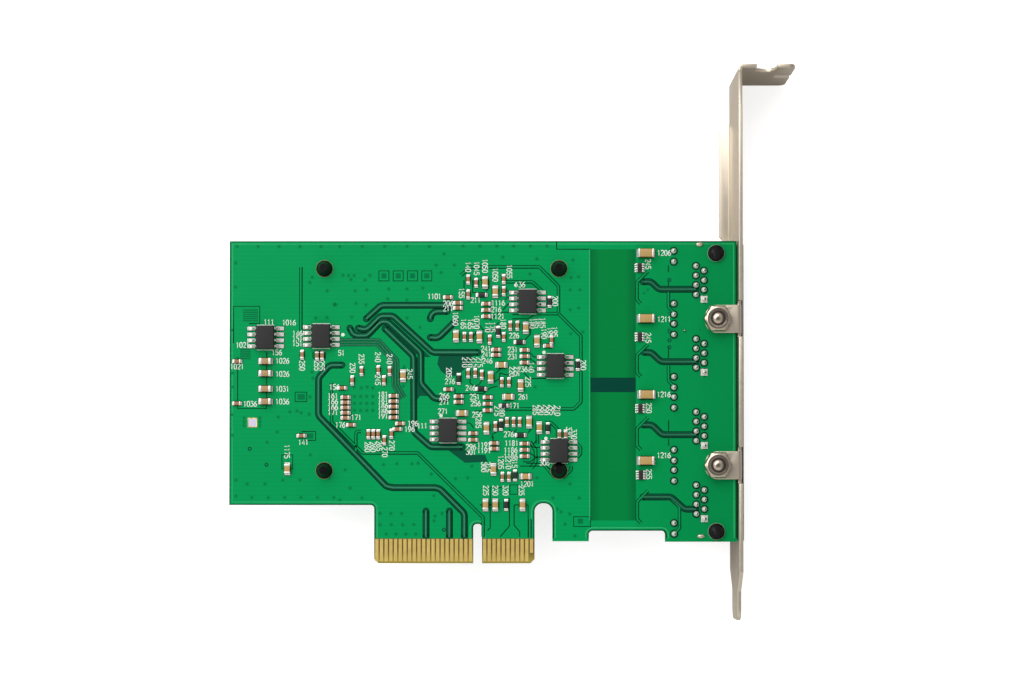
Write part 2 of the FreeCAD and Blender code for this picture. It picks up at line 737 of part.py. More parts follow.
def bracket_screws():
    """Two tab screws: low head in the jack's pocket, shank through board, tab and nut."""
    head_z = COMPONENT_Z - d.screw_head_height
    tip_z = TAB_TOP_Z + d.nut_height + d.screw_tip
    shank_length = tip_z - COMPONENT_Z
    head = rod("screw_head", d.screw_head_diameter / 2, d.screw_head_height, (ZERO, ZERO, head_z))
    shank = rod("screw_shank", d.screw_diameter / 2, shank_length, (ZERO, ZERO, COMPONENT_Z))
    screw = fuse("bracket_screw_pattern", [head, shank])
    return copies("bracket_screws", screw, [(TAB_SCREW_X, y, ZERO) for y in TAB_CENTRES_Y])


def bracket_nuts():
    """Two hex nuts with rounded upper corners, bored for the screws."""
    radius = d.nut_flats / math.sqrt(3)
    prism = doc.addObject("Part::Prism", "nut_prism")
    prism.Polygon = 6
    bind(prism, Circumradius=radius, Height=d.nut_height)
    settle(prism, (ZERO, ZERO, TAB_TOP_Z))
    seat = (ZERO, ZERO, TAB_TOP_Z)
    crown = cone("nut_crown", radius + d.nut_height, d.nut_flats * 0.46, d.nut_height * 1.4, seat)
    crowned = doc.addObject("Part::Common", "nut_crowned")
    crowned.Base = prism
    crowned.Tool = crown
    below = (ZERO, ZERO, TAB_TOP_Z - d.nut_height / 2)
    bore = rod("nut_bore", d.screw_diameter / 2, d.nut_height * 2, below)
    nut = cut("bracket_nut_pattern", crowned, [bore])
    return copies("bracket_nuts", nut, [(TAB_SCREW_X, y, ZERO) for y in TAB_CENTRES_Y])


# Four-port jack

def port_floor_z():
    """The far side of a port's cavity."""
    return JACK_FAR_Z + d.port_roof


def jack_shield():
    """The drawn metal shell over the jack: far side, ends, rear and the framed front."""
    extent = (d.jack_depth, JACK_UPPER_Y - JACK_LOWER_Y, d.jack_height)
    shell = block("shield_block", (JACK_REAR_X, JACK_LOWER_Y, JACK_FAR_Z), extent)
    wall = d.shield_sheet
    inside = block(
        "shield_inside",
        (JACK_REAR_X + wall, JACK_LOWER_Y + wall, JACK_FAR_Z + wall),
        (extent[0] - wall * 2, extent[1] - wall * 2, extent[2]),
    )
    mouths = []
    width = d.lamp_offset * 2 + d.lamp_width + wall
    height = port_floor_z() + d.port_height - LAMP_Z
    for number, y in enumerate(PORTS_Y):
        corner = (JACK_FRONT_X - wall * 2, y - width / 2, LAMP_Z)
        mouths.append(block(f"shield_mouth_{number}", corner, (wall * 4, width, height)))
    return cut("jack_shield", shell, [inside] + mouths)


def jack_housing():
    """The moulded housing: four stepped ports, lamp channels, head pockets and two pegs."""
    wall = d.shield_sheet
    low = (JACK_REAR_X + wall, JACK_LOWER_Y + wall, JACK_FAR_Z + wall)
    extent = (
        d.jack_depth - wall * 2,
        JACK_UPPER_Y - JACK_LOWER_Y - wall * 2,
        d.jack_height - wall,
    )
    base = block("housing_block", low, extent)
    pegs = [
        rod(
            f"housing_peg_{number}",
            d.peg_diameter / 2,
            d.board_thickness + d.peg_stand,
            (d.peg_x, y, COMPONENT_Z),
        )
        for number, y in enumerate(PEGS_Y)
    ]
    solid = fuse("housing_solid", [base] + pegs)
    floor_z = port_floor_z()
    front = JACK_FRONT_X + wall
    tools = []
    for number, y in enumerate(PORTS_Y):
        tools.append(block(
            f"port_cavity_{number}",
            (front - d.port_depth, y - d.port_width / 2, floor_z + d.latch_height),
            (d.port_depth, d.port_width, d.port_height - d.latch_height),
        ))
        tools.append(block(
            f"port_latch_{number}",
            (front - d.latch_depth, y - d.latch_width / 2, floor_z),
            (d.latch_depth, d.latch_width, d.latch_height * 2),
        ))
        tools.append(block(
            f"contact_comb_{number}",
            (
                d.contact_row_x - d.contact_thickness * 2,
                y - d.contact_pitch * 4,
                floor_z + d.port_height - d.latch_height,
            ),
            (d.contact_row_step + d.contact_thickness * 4, d.contact_pitch * 8, d.jack_height),
        ))
        for side in (-1, 1):
            tools.append(block(
                f"lamp_channel_{number}_{side + 1}",
                (
                    JACK_FRONT_X - d.lamp_reach,
                    y + d.lamp_offset * side - d.lamp_width / 2,
                    LAMP_Z,
                ),
                (d.lamp_reach, d.lamp_width, d.lamp_height),
            ))
    for number, y in enumerate(TAB_CENTRES_Y):
        radius = d.screw_head_diameter / 2 + d.head_pocket_gap
        depth = d.screw_head_height + d.head_pocket_gap
        tools.append(rod(f"head_pocket_{number}", radius, depth, (TAB_SCREW_X, y, COMPONENT_Z - depth)))
    return cut("jack_housing", solid, tools)


def port_contacts():
    """Thirty-two spring contacts: a tail down to the board and a slanted free arm in the port."""
    root_z = port_floor_z() + d.port_height - d.latch_height / 2
    arm_end_x = d.contact_row_x - d.contact_drop
    thick = d.contact_thickness
    drop_z = root_z - d.contact_drop
    shapes = []
    for number in range(2):
        body = new_body(f"contact_pattern_{number}")
        tail_x = d.contact_row_x + d.contact_row_step * number
        profile = sketch_on(body, f"contact_profile_{number}", "XZ_Plane")
        outline(profile, [
            (tail_x - thick / 2, COMPONENT_Z),
            (tail_x - thick / 2, root_z),
            (arm_end_x, drop_z),
            (arm_end_x, drop_z - thick * 1.4),
            (tail_x + thick / 2, root_z - thick),
            (tail_x + thick / 2, COMPONENT_Z),
        ])
        pad(body, f"contact_{number}", profile, d.contact_width, midplane=True)
        body.Visibility = False
        shapes.append(body)
    places = [[], []]
    count = DIMENSIONS["contact_count"][0]
    for y in PORTS_Y:
        for number in range(count):
            across = d.contact_pitch * ((count - 1) / 2 - number)
            places[number % 2].append((ZERO, y + across, ZERO))
    rows = [copies(f"contact_row_{number}", shapes[number], places[number]) for number in range(2)]
    group = doc.addObject("Part::Feature", "port_contacts")
    group.Shape = Part.makeCompound(rows[0].Shape.Solids + rows[1].Shape.Solids)
    return group


def indicator_lamps():
    """Eight light guides, two beside each port's latch, flush with the jack's front."""
    gap = d.lamp_gap
    guide = block(
        "lamp_pattern",
        (JACK_FRONT_X - d.lamp_reach + gap, d.lamp_width / -2 + gap, LAMP_Z),
        (d.lamp_reach - gap, d.lamp_width - gap * 2, d.lamp_height - gap),
    )
    places = [(ZERO, y + d.lamp_offset * side, ZERO) for y in PORTS_Y for side in (-1, 1)]
    return copies("indicator_lamps", guide, places)


def frustum(sides, lower, upper, low_z, high_z):
    """A closed frustum with flat sides."""
    rings = []
    for radius, z in ((lower, low_z), (upper, high_z)):
        angles = [math.tau * step / sides for step in range(sides)]
        rings.append([Vector(radius * math.cos(a), radius * math.sin(a), z) for a in angles])
    outlines = [ring + ring[:1] for ring in rings]
    for step in range(sides):
        following = (step + 1) % sides
        low, high = rings
        outlines.append([low[step], low[following], high[following], high[step], low[step]])
    faces = [Part.Face(Part.makePolygon(corners)) for corners in outlines]
    return Part.Solid(Part.Shell(faces))


def solder_joints():
    """The soldered tails of the contacts and the indicator legs, as cones on the solder side."""
    joint = doc.addObject("Part::Feature", "joint_pattern")
    sides = 6
    top_z = SOLDER_Z + d.joint_height
    joint.Shape = frustum(sides, d.joint_base.value, d.joint_tip.value, SOLDER_Z.value, top_z.value)
    places = []
    count = DIMENSIONS["contact_count"][0]
    for y in PORTS_Y:
        for number in range(count):
            across = d.contact_pitch * ((count - 1) / 2 - number)
            places.append((d.contact_row_x + d.contact_row_step * (number % 2), y + across, ZERO))
        for side in (-1, 1):
            for leg in (-0.5, 0.5):
                offset = d.lamp_offset * side + d.lamp_leg_spread * leg
                places.append((d.lamp_row_x, y + offset, ZERO))
    return copies("solder_joints", joint, places)


# Heat sink

def heat_sink():
    """The extruded heat sink: base plate, straight fins, and free corners for the push pins."""
    body = new_body("heat_sink")
    half_x = d.sink_length / 2
    half_y = d.sink_width / 2
    fin_count = DIMENSIONS["fin_count"][0]
    pitch = (d.sink_width - d.fin_thickness) / (fin_count - 1)
    low_y = d.sink_y - half_y
    corners = [(low_y, SINK_BASE_TOP_Z), (low_y, ZERO)]
    for number in range(fin_count):
        start = low_y + pitch * number
        if number:
            corners.append((start, SINK_BASE_Z))
            corners.append((start, ZERO))
        corners.append((start + d.fin_thickness, ZERO))
        if number < fin_count - 1:
            corners.append((start + d.fin_thickness, SINK_BASE_Z))
    corners.append((low_y + d.sink_width, SINK_BASE_TOP_Z))
    profile = sketch_on(body, "fin_profile", "YZ_Plane", d.sink_x)
    outline(profile, corners)
    pad(body, "extrusion", profile, d.sink_length, midplane=True)

    cleared = sketch_on(body, "corner_outline", "XY_Plane", ZERO)
    reach = d.corner_clear / 2
    for x, y in PUSH_PINS:
        side_x = 1 if x.value > d.sink_x.value else -1
        side_y = 1 if y.value > d.sink_y.value else -1
        inner = (x - reach * side_x, y - reach * side_y)
        outer = (d.sink_x + half_x * (1.05 * side_x), d.sink_y + half_y * (1.05 * side_y))
        low = (inner[0], inner[1])
        high = (outer[0], outer[1])
        rectangle(cleared, low, high)
    pocket(body, "free_corners", cleared, SINK_BASE_Z * 2)

    holes = sketch_on(body, "sink_holes", "XY_Plane", SINK_BASE_TOP_Z)
    for x, y in PUSH_PINS:
        circle(holes, (x, y), d.pin_diameter / 2 + d.pin_hole_clearance)
    pocket(body, "pin_holes", holes, d.sink_base * 3)
    return body


def push_pins():
    """Four push pins: round head, shaft, and a barb that grips the board."""
    head_z = SINK_BASE_Z - d.spring_length - d.pin_head_height
    shaft_z = head_z + d.pin_head_height
    radius = d.pin_diameter / 2
    head = rod("pin_head", d.pin_head_diameter / 2, d.pin_head_height, (ZERO, ZERO, head_z))
    shaft = rod("pin_shaft", radius, SOLDER_Z - shaft_z, (ZERO, ZERO, shaft_z))
    barb = cone(
        "pin_barb", d.pin_tip_diameter / 2, radius * 0.6, d.pin_tip_height, (ZERO, ZERO, SOLDER_Z)
    )
    pin = fuse("push_pin_pattern", [head, shaft, barb])
    return copies("push_pins", pin, [(x, y, ZERO) for x, y in PUSH_PINS])


def pin_springs():
    """Four coil springs between the push pins' heads and the heat sink's base."""
    turns = DIMENSIONS["spring_turns"][0]
    wire = d.spring_wire.value
    rise = d.spring_length.value - wire
    radius = d.spring_diameter.value / 2
    low_z = (SINK_BASE_Z - d.spring_length).value + wire / 2
    corners_a_turn = 8
    corners = []
    for step in range(turns * corners_a_turn + 1):
        angle = math.tau * step / corners_a_turn
        z = low_z + rise * step / (turns * corners_a_turn)
        corners.append(Vector(radius * math.cos(angle), radius * math.sin(angle), z))
    start = corners[0]
    reach = wire / 2
    section = Part.makePolygon([
        start + Vector(across * reach, 0, along * reach)
        for across, along in ((-1, -1), (1, -1), (1, 1), (-1, 1), (-1, -1))
    ])
    spring = doc.addObject("Part::Feature", "spring_pattern")
    mitred = 1
    spring.Shape = Part.makePolygon(corners).makePipeShell([section], True, True, mitred)
    return copies("pin_springs", spring, [(x, y, ZERO) for x, y in PUSH_PINS])


# Chips under the heat sink

LARGE_CHIPS = [
    ("switch", d.switch_side, SINK_LEFT + d.switch_inset, [d.switch_y]),
    (
        "controller",
        d.controller_side,
        SINK_RIGHT - d.controller_inset,
        [d.controller_upper_y, d.controller_lower_y],
    ),
]


def chip_carriers(name, side, x, centres):
    """The flat carriers of the large chips, soldered to the component side."""
    low_z = COMPONENT_Z - d.carrier_thickness
    corner = (side / -2, side / -2, low_z)
    carrier = block(f"{name}_carrier_pattern", corner, (side, side, d.carrier_thickness))
    return copies(f"{name}_chip_carriers" if len(centres) > 1 else f"{name}_chip_carrier",
                  carrier, [(x, y, ZERO) for y in centres])


def chip_covers(name, side, x, centres):
    """The moulded covers of the large chips, with drafted sides."""
    body = new_body(f"{name}_cover_pattern")
    height = d.chip_height - d.carrier_thickness
    half = side / 2 - d.lid_inset
    sketch = sketch_on(body, f"{name}_cover_outline", "XY_Plane", COMPONENT_Z - d.chip_height)
    rectangle(sketch, (-half, -half), (half, half))
    pad(body, f"{name}_cover_block", sketch, height)
    rim = [
        f"Edge{number}"
        for number, edge in enumerate(body.Shape.Edges, start=1)
        if all(abs(vertex.Z - (COMPONENT_Z - d.chip_height).value) < 1e-4 for vertex in edge.Vertexes)
    ]
    dress(body, "Chamfer", f"{name}_cover_rim", rim, height / 4)
    label = f"{name}_chip_covers" if len(centres) > 1 else f"{name}_chip_cover"
    return copies(label, body, [(x, y, ZERO) for y in centres])


def thermal_pads():
    """Soft pads between the large chips and the heat sink's base."""
    shapes = []
    for name, side, x, centres in LARGE_CHIPS:
        pad_side = side - d.lid_inset * 4
        corner = (pad_side / -2, pad_side / -2, SINK_BASE_TOP_Z)
        pattern = block(f"{name}_pad_pattern", corner, (pad_side, pad_side, d.pad_thickness))
        shapes += copies(f"{name}_pads", pattern, [(x, y, ZERO) for y in centres]).Shape.Solids
    group = doc.addObject("Part::Feature", "thermal_pads")
    group.Shape = Part.makeCompound(shapes)
    return group


# Leads and moulded parts

def lead_profile(inner, outer, shoulder, foot_z, away):
    """Corners of a gull-wing lead seen along the row, from the moulding to its foot.

    away is +1 where the part stands on the solder side and -1 on the component side.
    """
    thick = d.lead_thickness
    toe = outer - d.lead_foot
    return [
        (inner, shoulder),
        (inner, shoulder + thick * away),
        (toe, shoulder + thick * away),
        (outer, foot_z + thick * away),
        (outer, foot_z),
        (toe, foot_z),
    ]


def lead_rows(label, corners, count, pitch, places):
    """Both rows of leads of every like part."""
    body = new_body(f"{label}_pattern")
    sketch = sketch_on(body, f"{label}_profile", "XZ_Plane")
    outline(sketch, corners)
    pad(body, f"{label}_lead", sketch, d.lead_width, midplane=True)
    spots = []
    for place in places:
        x, y = place[:2]
        for number in range(count):
            along = pitch * (number - (count - 1) / 2)
            spots.append((x, y + along, ZERO, 0.0))
            spots.append((x, y + along, ZERO, 180.0))
    return copies(label, body, spots)


def moulding(label, width, length, height, low_z, places):
    """A moulded part whose four long top and bottom edges are drafted."""
    body = new_body(f"{label}_pattern")
    draft = height / 9
    half = width / 2
    middle = low_z + height * 0.5
    sketch = sketch_on(body, f"{label}_section", "XZ_Plane")
    outline(sketch, [
        (draft - half, low_z),
        (half - draft, low_z),
        (half, middle),
        (half - draft, low_z + height),
        (draft - half, low_z + height),
        (-half, middle),
    ])
    pad(body, f"{label}_block", sketch, length, midplane=True)
    return copies(label, body, [(x, y, ZERO) for x, y in places])


# Eight-lead chips on the solder side, by their centres
SMALL_CHIPS = [(-52.7, 1.8), (-40.8, 2.1), (3.3, 9.5), (9.2, -4.3), (-13.7, -18.1)]


def small_chips():
    """The six eight-lead chips of the solder side: mouldings and leads."""
    low_z = SOLDER_Z + d.small_chip_stand
    height = d.small_chip_height - d.small_chip_stand
    places = [(as_size(x), as_size(y)) for x, y in SMALL_CHIPS]
    lower_right_pin = PUSH_PINS[2]
    places.append((lower_right_pin[0], lower_right_pin[1] + d.chip_above_pin))
    bodies = moulding(
        "memory_chip_bodies", d.small_chip_width, d.small_chip_length, height, low_z, places
    )
    corners = lead_profile(
        d.small_chip_width / 2, d.small_chip_span / 2, low_z + height * 0.5, SOLDER_Z, 1
    )
    leads = lead_rows("memory_chip_leads", corners, 4, d.small_chip_pitch, places)
    return [bodies, leads]


def magnetics():
    """Four magnetics modules behind the ports: mouldings and leads."""
    low_z = COMPONENT_Z - d.magnetics_height
    height = d.magnetics_height - d.small_chip_stand
    places = [(MAGNETICS_X, y) for y in MAGNETICS_Y]
    bodies = moulding(
        "magnetics_bodies", d.magnetics_width, d.magnetics_length, height, low_z, places
    )
    span = d.magnetics_width / 2 + d.lead_foot * 2
    corners = lead_profile(
        d.magnetics_width / 2, span, low_z + height * 0.5, COMPONENT_Z, -1
    )
    count = DIMENSIONS["magnetics_lead_count"][0]
    leads = lead_rows("magnetics_leads", corners, count, d.magnetics_lead_pitch, places)
    return [bodies, leads]


# Chip parts of the solder side

def chip_parts(name, sizes, end, places):
    """Two-terminal chip parts lying along X, or along Y where a place is turned."""
    length, width, height = sizes
    inner = length / 2 - end
    core = block(f"{name}_core", (-inner, width / -2, SOLDER_Z), (inner * 2, width, height))
    cap = block(f"{name}_end", (inner, width / -2, SOLDER_Z), (end, width, height))
    bodies = copies(f"{name}_bodies", core, [(x, y, ZERO, turn) for x, y, turn in places])
    ends = [(x, y, ZERO, turn + half) for x, y, turn in places for half in (0.0, 180.0)]
    terminals = copies(f"{name}_terminals", cap, ends)
    return [bodies, terminals]


def plated_chips(label, sizes, places):
    """Chip parts whose plated ends are flush with the body: one solid each."""
    length, width, height = sizes
    corner = (length / -2, width / -2, SOLDER_Z)
    chip = block(f"{label}_pattern", corner, (length, width, height))
    return copies(label, chip, [(x, y, ZERO, turn) for x, y, turn in places])


def lying(*places):
    """Parts that lie along X."""
    return [(x, y, 0.0) for x, y in places]


def standing(*places):
    """Parts that lie along Y."""
    return [(x, y, 90.0) for x, y in places]


def column(x, first, pitch, count):
    """Parts that lie along X, one under another."""
    return lying(*[(x, first - pitch * number) for number in range(count)])


def row(first, pitch, count, y):
    """Parts that lie along Y, side by side."""
    return standing(*[(first + pitch * number, y) for number in range(count)])


TINY_CAPACITORS = (
    # Round the switch chip
    column(-35.6, -11.0, 1.1, 5) + column(-25.3, -10.7, 1.15, 5)
    + lying((-36.3, -9.0), (-34.4, -16.9), (-23.9, -16.6), (-24.5, -17.8))
    + standing((-34.2, -7.4), (-32.2, -5.4), (-28.6, -5.2), (-27.4, -7.4), (-26.2, -5.4))
    + row(-30.7, 1.05, 3, -18.9) + standing((-27.3, -20.2), (-25.8, -18.8))
    # At the board's left end
    + lying((-58.8, -3.3), (-58.8, -12.3), (-45.0, -19.2))
    + standing((-41.7, -2.1), (-40.6, -2.1), (-44.9, -1.9))
    # Round the upper controller chip
    + lying((-13.7, 10.4), (-11.6, 9.2), (-11.6, 8.1))
    + column(-5.5, 9.0, 1.35, 3)
    + standing((-9.4, 14.2), (-7.7, 13.5), (-1.8, 14.3), (-1.8, 11.7), (-9.4, 11.0))
    + standing((-10.2, 1.9), (-8.8, 1.9), (-4.8, 1.3), (-1.8, 1.9))
    + standing((-0.4, 4.3), (1.1, 4.3), (8.4, 1.2))
    + lying((7.7, 0.0)) + column(-3.4, -0.8, 1.15, 2) + column(2.7, -0.9, 1.35, 3)
    # Round the lower controller chip
    + standing((-9.4, -5.9), (-7.9, -5.8), (-6.5, -6.2), (-2.2, -7.8), (-0.7, -7.8))
    + lying((-13.6, -9.3)) + column(-11.4, -10.8, 1.2, 2) + column(-5.2, -11.0, 1.4, 3)
    + standing((-3.6, -17.2), (-1.1, -16.3), (0.3, -16.3), (1.6, -16.3))
    + column(-8.3, -18.7, 1.4, 2) + column(-3.8, -20.8, 1.2, 2) + column(2.7, -20.9, 1.35, 3)
    + standing((10.1, -19.0), (11.4, -19.0)) + row(-2.1, 1.4, 2, -28.0)
)

SMALL_CAPACITORS = (
    standing((-48.0, -26.3), (-23.3, -6.4), (-5.8, 13.6), (-3.6, 11.6), (-12.0, 2.1))
    + standing((-7.0, 1.9), (2.9, 3.9), (5.3, 1.0), (-4.6, -6.7), (1.8, -8.5))
    + standing((-5.5, -17.6), (3.6, -16.3), (5.8, -17.5), (-4.0, -26.4))
    + standing((-5.7, -34.0), (-3.6, -34.0), (2.2, -34.0))
    + lying((-2.3, -4.1), (-0.8, -10.9), (-10.7, -14.4), (2.9, -27.9))
)

POWER_CAPACITORS = lying((-52.7, -3.3), (-52.7, -5.9), (-52.7, -9.2), (-52.7, -11.9))

CHIP_RESISTORS = (
    lying((-6.5, 10.9), (1.6, 0.8), (-6.6, -9.2), (1.8, -19.1))
    + standing((-3.0, 3.0), (8.0, 9.4), (-11.4, -7.1), (14.0, -4.1))
    + standing((-2.4, -16.9), (7.6, -17.6), (0.6, -27.7), (-1.3, -34.0))
)

FERRITE_BEADS = lying((-1.7, -12.8))

SURGE_CAPACITORS = lying((28.6, 19.8), (28.6, 5.8), (28.7, -10.45), (28.55, -24.55))

RESISTOR_NETWORKS = standing((27.3, 16.7), (27.3, 1.9), (27.4, -13.4), (27.5, -27.6))


def passive_parts():
    """The chip parts of the solder side, by size."""
    tiny = (d.tiny_length, d.tiny_width, d.tiny_height)
    resistor = (d.resistor_length, d.resistor_width, d.resistor_height)
    bead = (d.bead_length, d.bead_width, d.bead_width)
    network = (d.network_length, d.network_width, d.resistor_height)
    small = (d.small_length, d.small_width, d.small_height)
    power = (d.power_length, d.power_width, d.power_height)
    surge = (d.surge_length, d.surge_width, d.surge_height)
    pieces = [
        plated_chips("tiny_capacitors", tiny, TINY_CAPACITORS),
        plated_chips("chip_resistors", resistor, CHIP_RESISTORS),
        plated_chips("ferrite_bead", bead, FERRITE_BEADS),
        plated_chips("resistor_networks", network, RESISTOR_NETWORKS),
    ]
    pieces += chip_parts("small_capacitor", small, d.small_end, SMALL_CAPACITORS)
    pieces += chip_parts("power_capacitor", power, d.power_end, POWER_CAPACITORS)
    pieces += chip_parts("surge_capacitor", surge, d.surge_end, SURGE_CAPACITORS)
    return pieces


# Component side, left end and lower edge

def power_inductors():
    """Two shielded power inductors with chamfered corners."""
    body = new_body("inductor_pattern")
    half = d.inductor_side / 2
    sketch = sketch_on(body, "inductor_outline", "XY_Plane", COMPONENT_Z - d.inductor_height)
    rectangle(sketch, (-half, -half), (half, half))
    pad(body, "inductor_block", sketch, d.inductor_height)
    corners = edges_along(body.Shape, "Z", [(x, y) for x in (-half, half) for y in (-half, half)])
    dress(body, "Chamfer", "inductor_corners", corners, d.inductor_side / 8)
    return copies("power_inductors", body, [(POWER_X, y, ZERO) for y in INDUCTORS_Y])


def polymer_capacitors():
    """Four polymer capacitors with a step where the ends fold under."""
    low_z = COMPONENT_Z - d.polymer_height
    corner = (d.polymer_length / -2, d.polymer_width / -2, low_z)
    pattern = block("polymer_pattern", corner, (d.polymer_length, d.polymer_width, d.polymer_height))
    places = [(POWER_X, y, ZERO) for y in POLYMERS_Y]
    return copies("polymer_capacitors", pattern, places)


def crystals():
    """Two low metal crystal cans with chamfered corners."""
    body = new_body("crystal_pattern")
    half_x = d.crystal_length / 2
    half_y = d.crystal_width / 2
    sketch = sketch_on(body, "crystal_outline", "XY_Plane", COMPONENT_Z - d.crystal_height)
    rectangle(sketch, (-half_x, -half_y), (half_x, half_y))
    pad(body, "crystal_block", sketch, d.crystal_height)
    corners = edges_along(body.Shape, "Z", [(x, y) for x in (-half_x, half_x) for y in (-half_y, half_y)])
    dress(body, "Chamfer", "crystal_corners", corners, d.crystal_width / 6)
    left = (POWER_X, POLYMERS_Y[-1] - d.crystal_drop, ZERO)
    upright = 90.0
    edge_y = d.contact_edge_y + d.edge_crystal_rise
    lower = (MAGNETICS_X - d.edge_crystal_gap, edge_y, ZERO, upright)
    return copies("crystals", body, [left, lower])


# The whole card

def build():
    """Makes every sub-part and returns them in order."""
    pieces = [
        circuit_board(),
        edge_contacts("solder_side_contacts", SOLDER_Z),
        edge_contacts("component_side_contacts", COMPONENT_Z - d.finger_plating),
        mounting_bracket(),
        bracket_screws(),
        bracket_nuts(),
        jack_shield(),
        jack_housing(),
        port_contacts(),
        indicator_lamps(),
        solder_joints(),
        heat_sink(),
        push_pins(),
        pin_springs(),
        thermal_pads(),
    ]
    for name, side, x, centres in LARGE_CHIPS:
        pieces.append(chip_carriers(name, side, x, centres))
        pieces.append(chip_covers(name, side, x, centres))
    pieces += magnetics()
    pieces += small_chips()
    pieces += passive_parts()
    pieces += [power_inductors(), polymer_capacitors(), crystals()]
    return pieces


def check(pieces):
    """Stops at any failed object, and at any sub-part that is empty or not valid."""
    doc.recompute()
    for item in doc.Objects:
        if "Invalid" in item.State or "Error" in item.State:
            raise RuntimeError(f"{item.Label} failed: {item.State}")
    for piece in pieces:
        if piece.Shape.isNull() or not piece.Shape.isValid() or not piece.Shape.Solids:
            raise RuntimeError(f"{piece.Label} has no valid shape")


def write(pieces):
    """Writes each sub-part to its own file."""
    os.makedirs("parts", exist_ok=True)
    for piece in pieces:
        piece.Shape.exportStep(f"parts/{piece.Label}.step")


def main():
    """Builds, checks and writes the card."""
    pieces = build()
    check(pieces)
    write(pieces)
    for piece in pieces:
        print(piece.Label, len(piece.Shape.Solids), round(piece.Shape.Volume, 2))


main()
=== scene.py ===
"""Looks of a network interface card, lying component side down on a white table."""

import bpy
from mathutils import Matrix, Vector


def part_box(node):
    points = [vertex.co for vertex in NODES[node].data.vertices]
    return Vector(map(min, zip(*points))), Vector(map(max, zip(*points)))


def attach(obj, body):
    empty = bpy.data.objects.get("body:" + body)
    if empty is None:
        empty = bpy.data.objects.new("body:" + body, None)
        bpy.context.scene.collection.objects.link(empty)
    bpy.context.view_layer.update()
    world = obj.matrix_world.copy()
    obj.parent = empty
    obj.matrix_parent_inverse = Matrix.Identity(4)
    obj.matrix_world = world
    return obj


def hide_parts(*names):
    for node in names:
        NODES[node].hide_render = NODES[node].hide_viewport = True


bl_info = {
    "name": "Network interface card",
    "version": (1, 0, 0),
    "blender": (4, 5, 0),
    "location": "3D View > Sidebar > Network card",
    "description": "Dresses the card's solids: solder mask, tracks, chips, markings and metal",
    "category": "Object",
}

import math
import random

import bmesh
import bpy
from bpy.props import FloatProperty, FloatVectorProperty, IntProperty, PointerProperty
from mathutils import Matrix, Vector

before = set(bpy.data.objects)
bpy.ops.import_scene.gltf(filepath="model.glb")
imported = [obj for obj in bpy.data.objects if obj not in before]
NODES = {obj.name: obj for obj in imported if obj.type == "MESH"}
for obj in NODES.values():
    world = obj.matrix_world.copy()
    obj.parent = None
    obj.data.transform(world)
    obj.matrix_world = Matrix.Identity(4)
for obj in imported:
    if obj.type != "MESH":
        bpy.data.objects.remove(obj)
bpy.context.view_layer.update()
MM = 0.001
BODY = "root"
SHEEN = 0.06

SOLDER_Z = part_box("circuit_board")[1].z / MM
CONTACTS_LOW, CONTACTS_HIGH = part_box("solder_side_contacts")

# The photograph's size in pixels, and the camera's sensor, lens, rise, place and turn, in millimetres
PHOTO_WIDTH = 1024
PHOTO_HEIGHT = 683
SENSOR = 36.0
LENS = 68.51
RISE = 0.12
EYE = Vector((1.04, -32.45, 432.0))
EYE_TURN = (
    Matrix.Rotation(0.0001, 3, "Z") @ Matrix.Rotation(-0.0026, 3, "Y") @ Matrix.Rotation(-0.0171, 3, "X")
).transposed()


def srgb(red, green, blue):
    """A colour given in 8-bit steps, as linear light."""
    def linear(step):
        part = step / 255.0
        if part <= 0.04045:
            return part / 12.92
        return ((part + 0.055) / 1.055) ** 2.4
    return (linear(red), linear(green), linear(blue))


def colour(label, about, *steps):
    return FloatVectorProperty(
        name=label, description=about, default=srgb(*steps), size=3, subtype="COLOR", min=0.0, max=1.0
    )


def length(label, about, millimetres):
    return FloatProperty(name=label, description=about, default=millimetres * MM, unit="LENGTH", min=0.0)


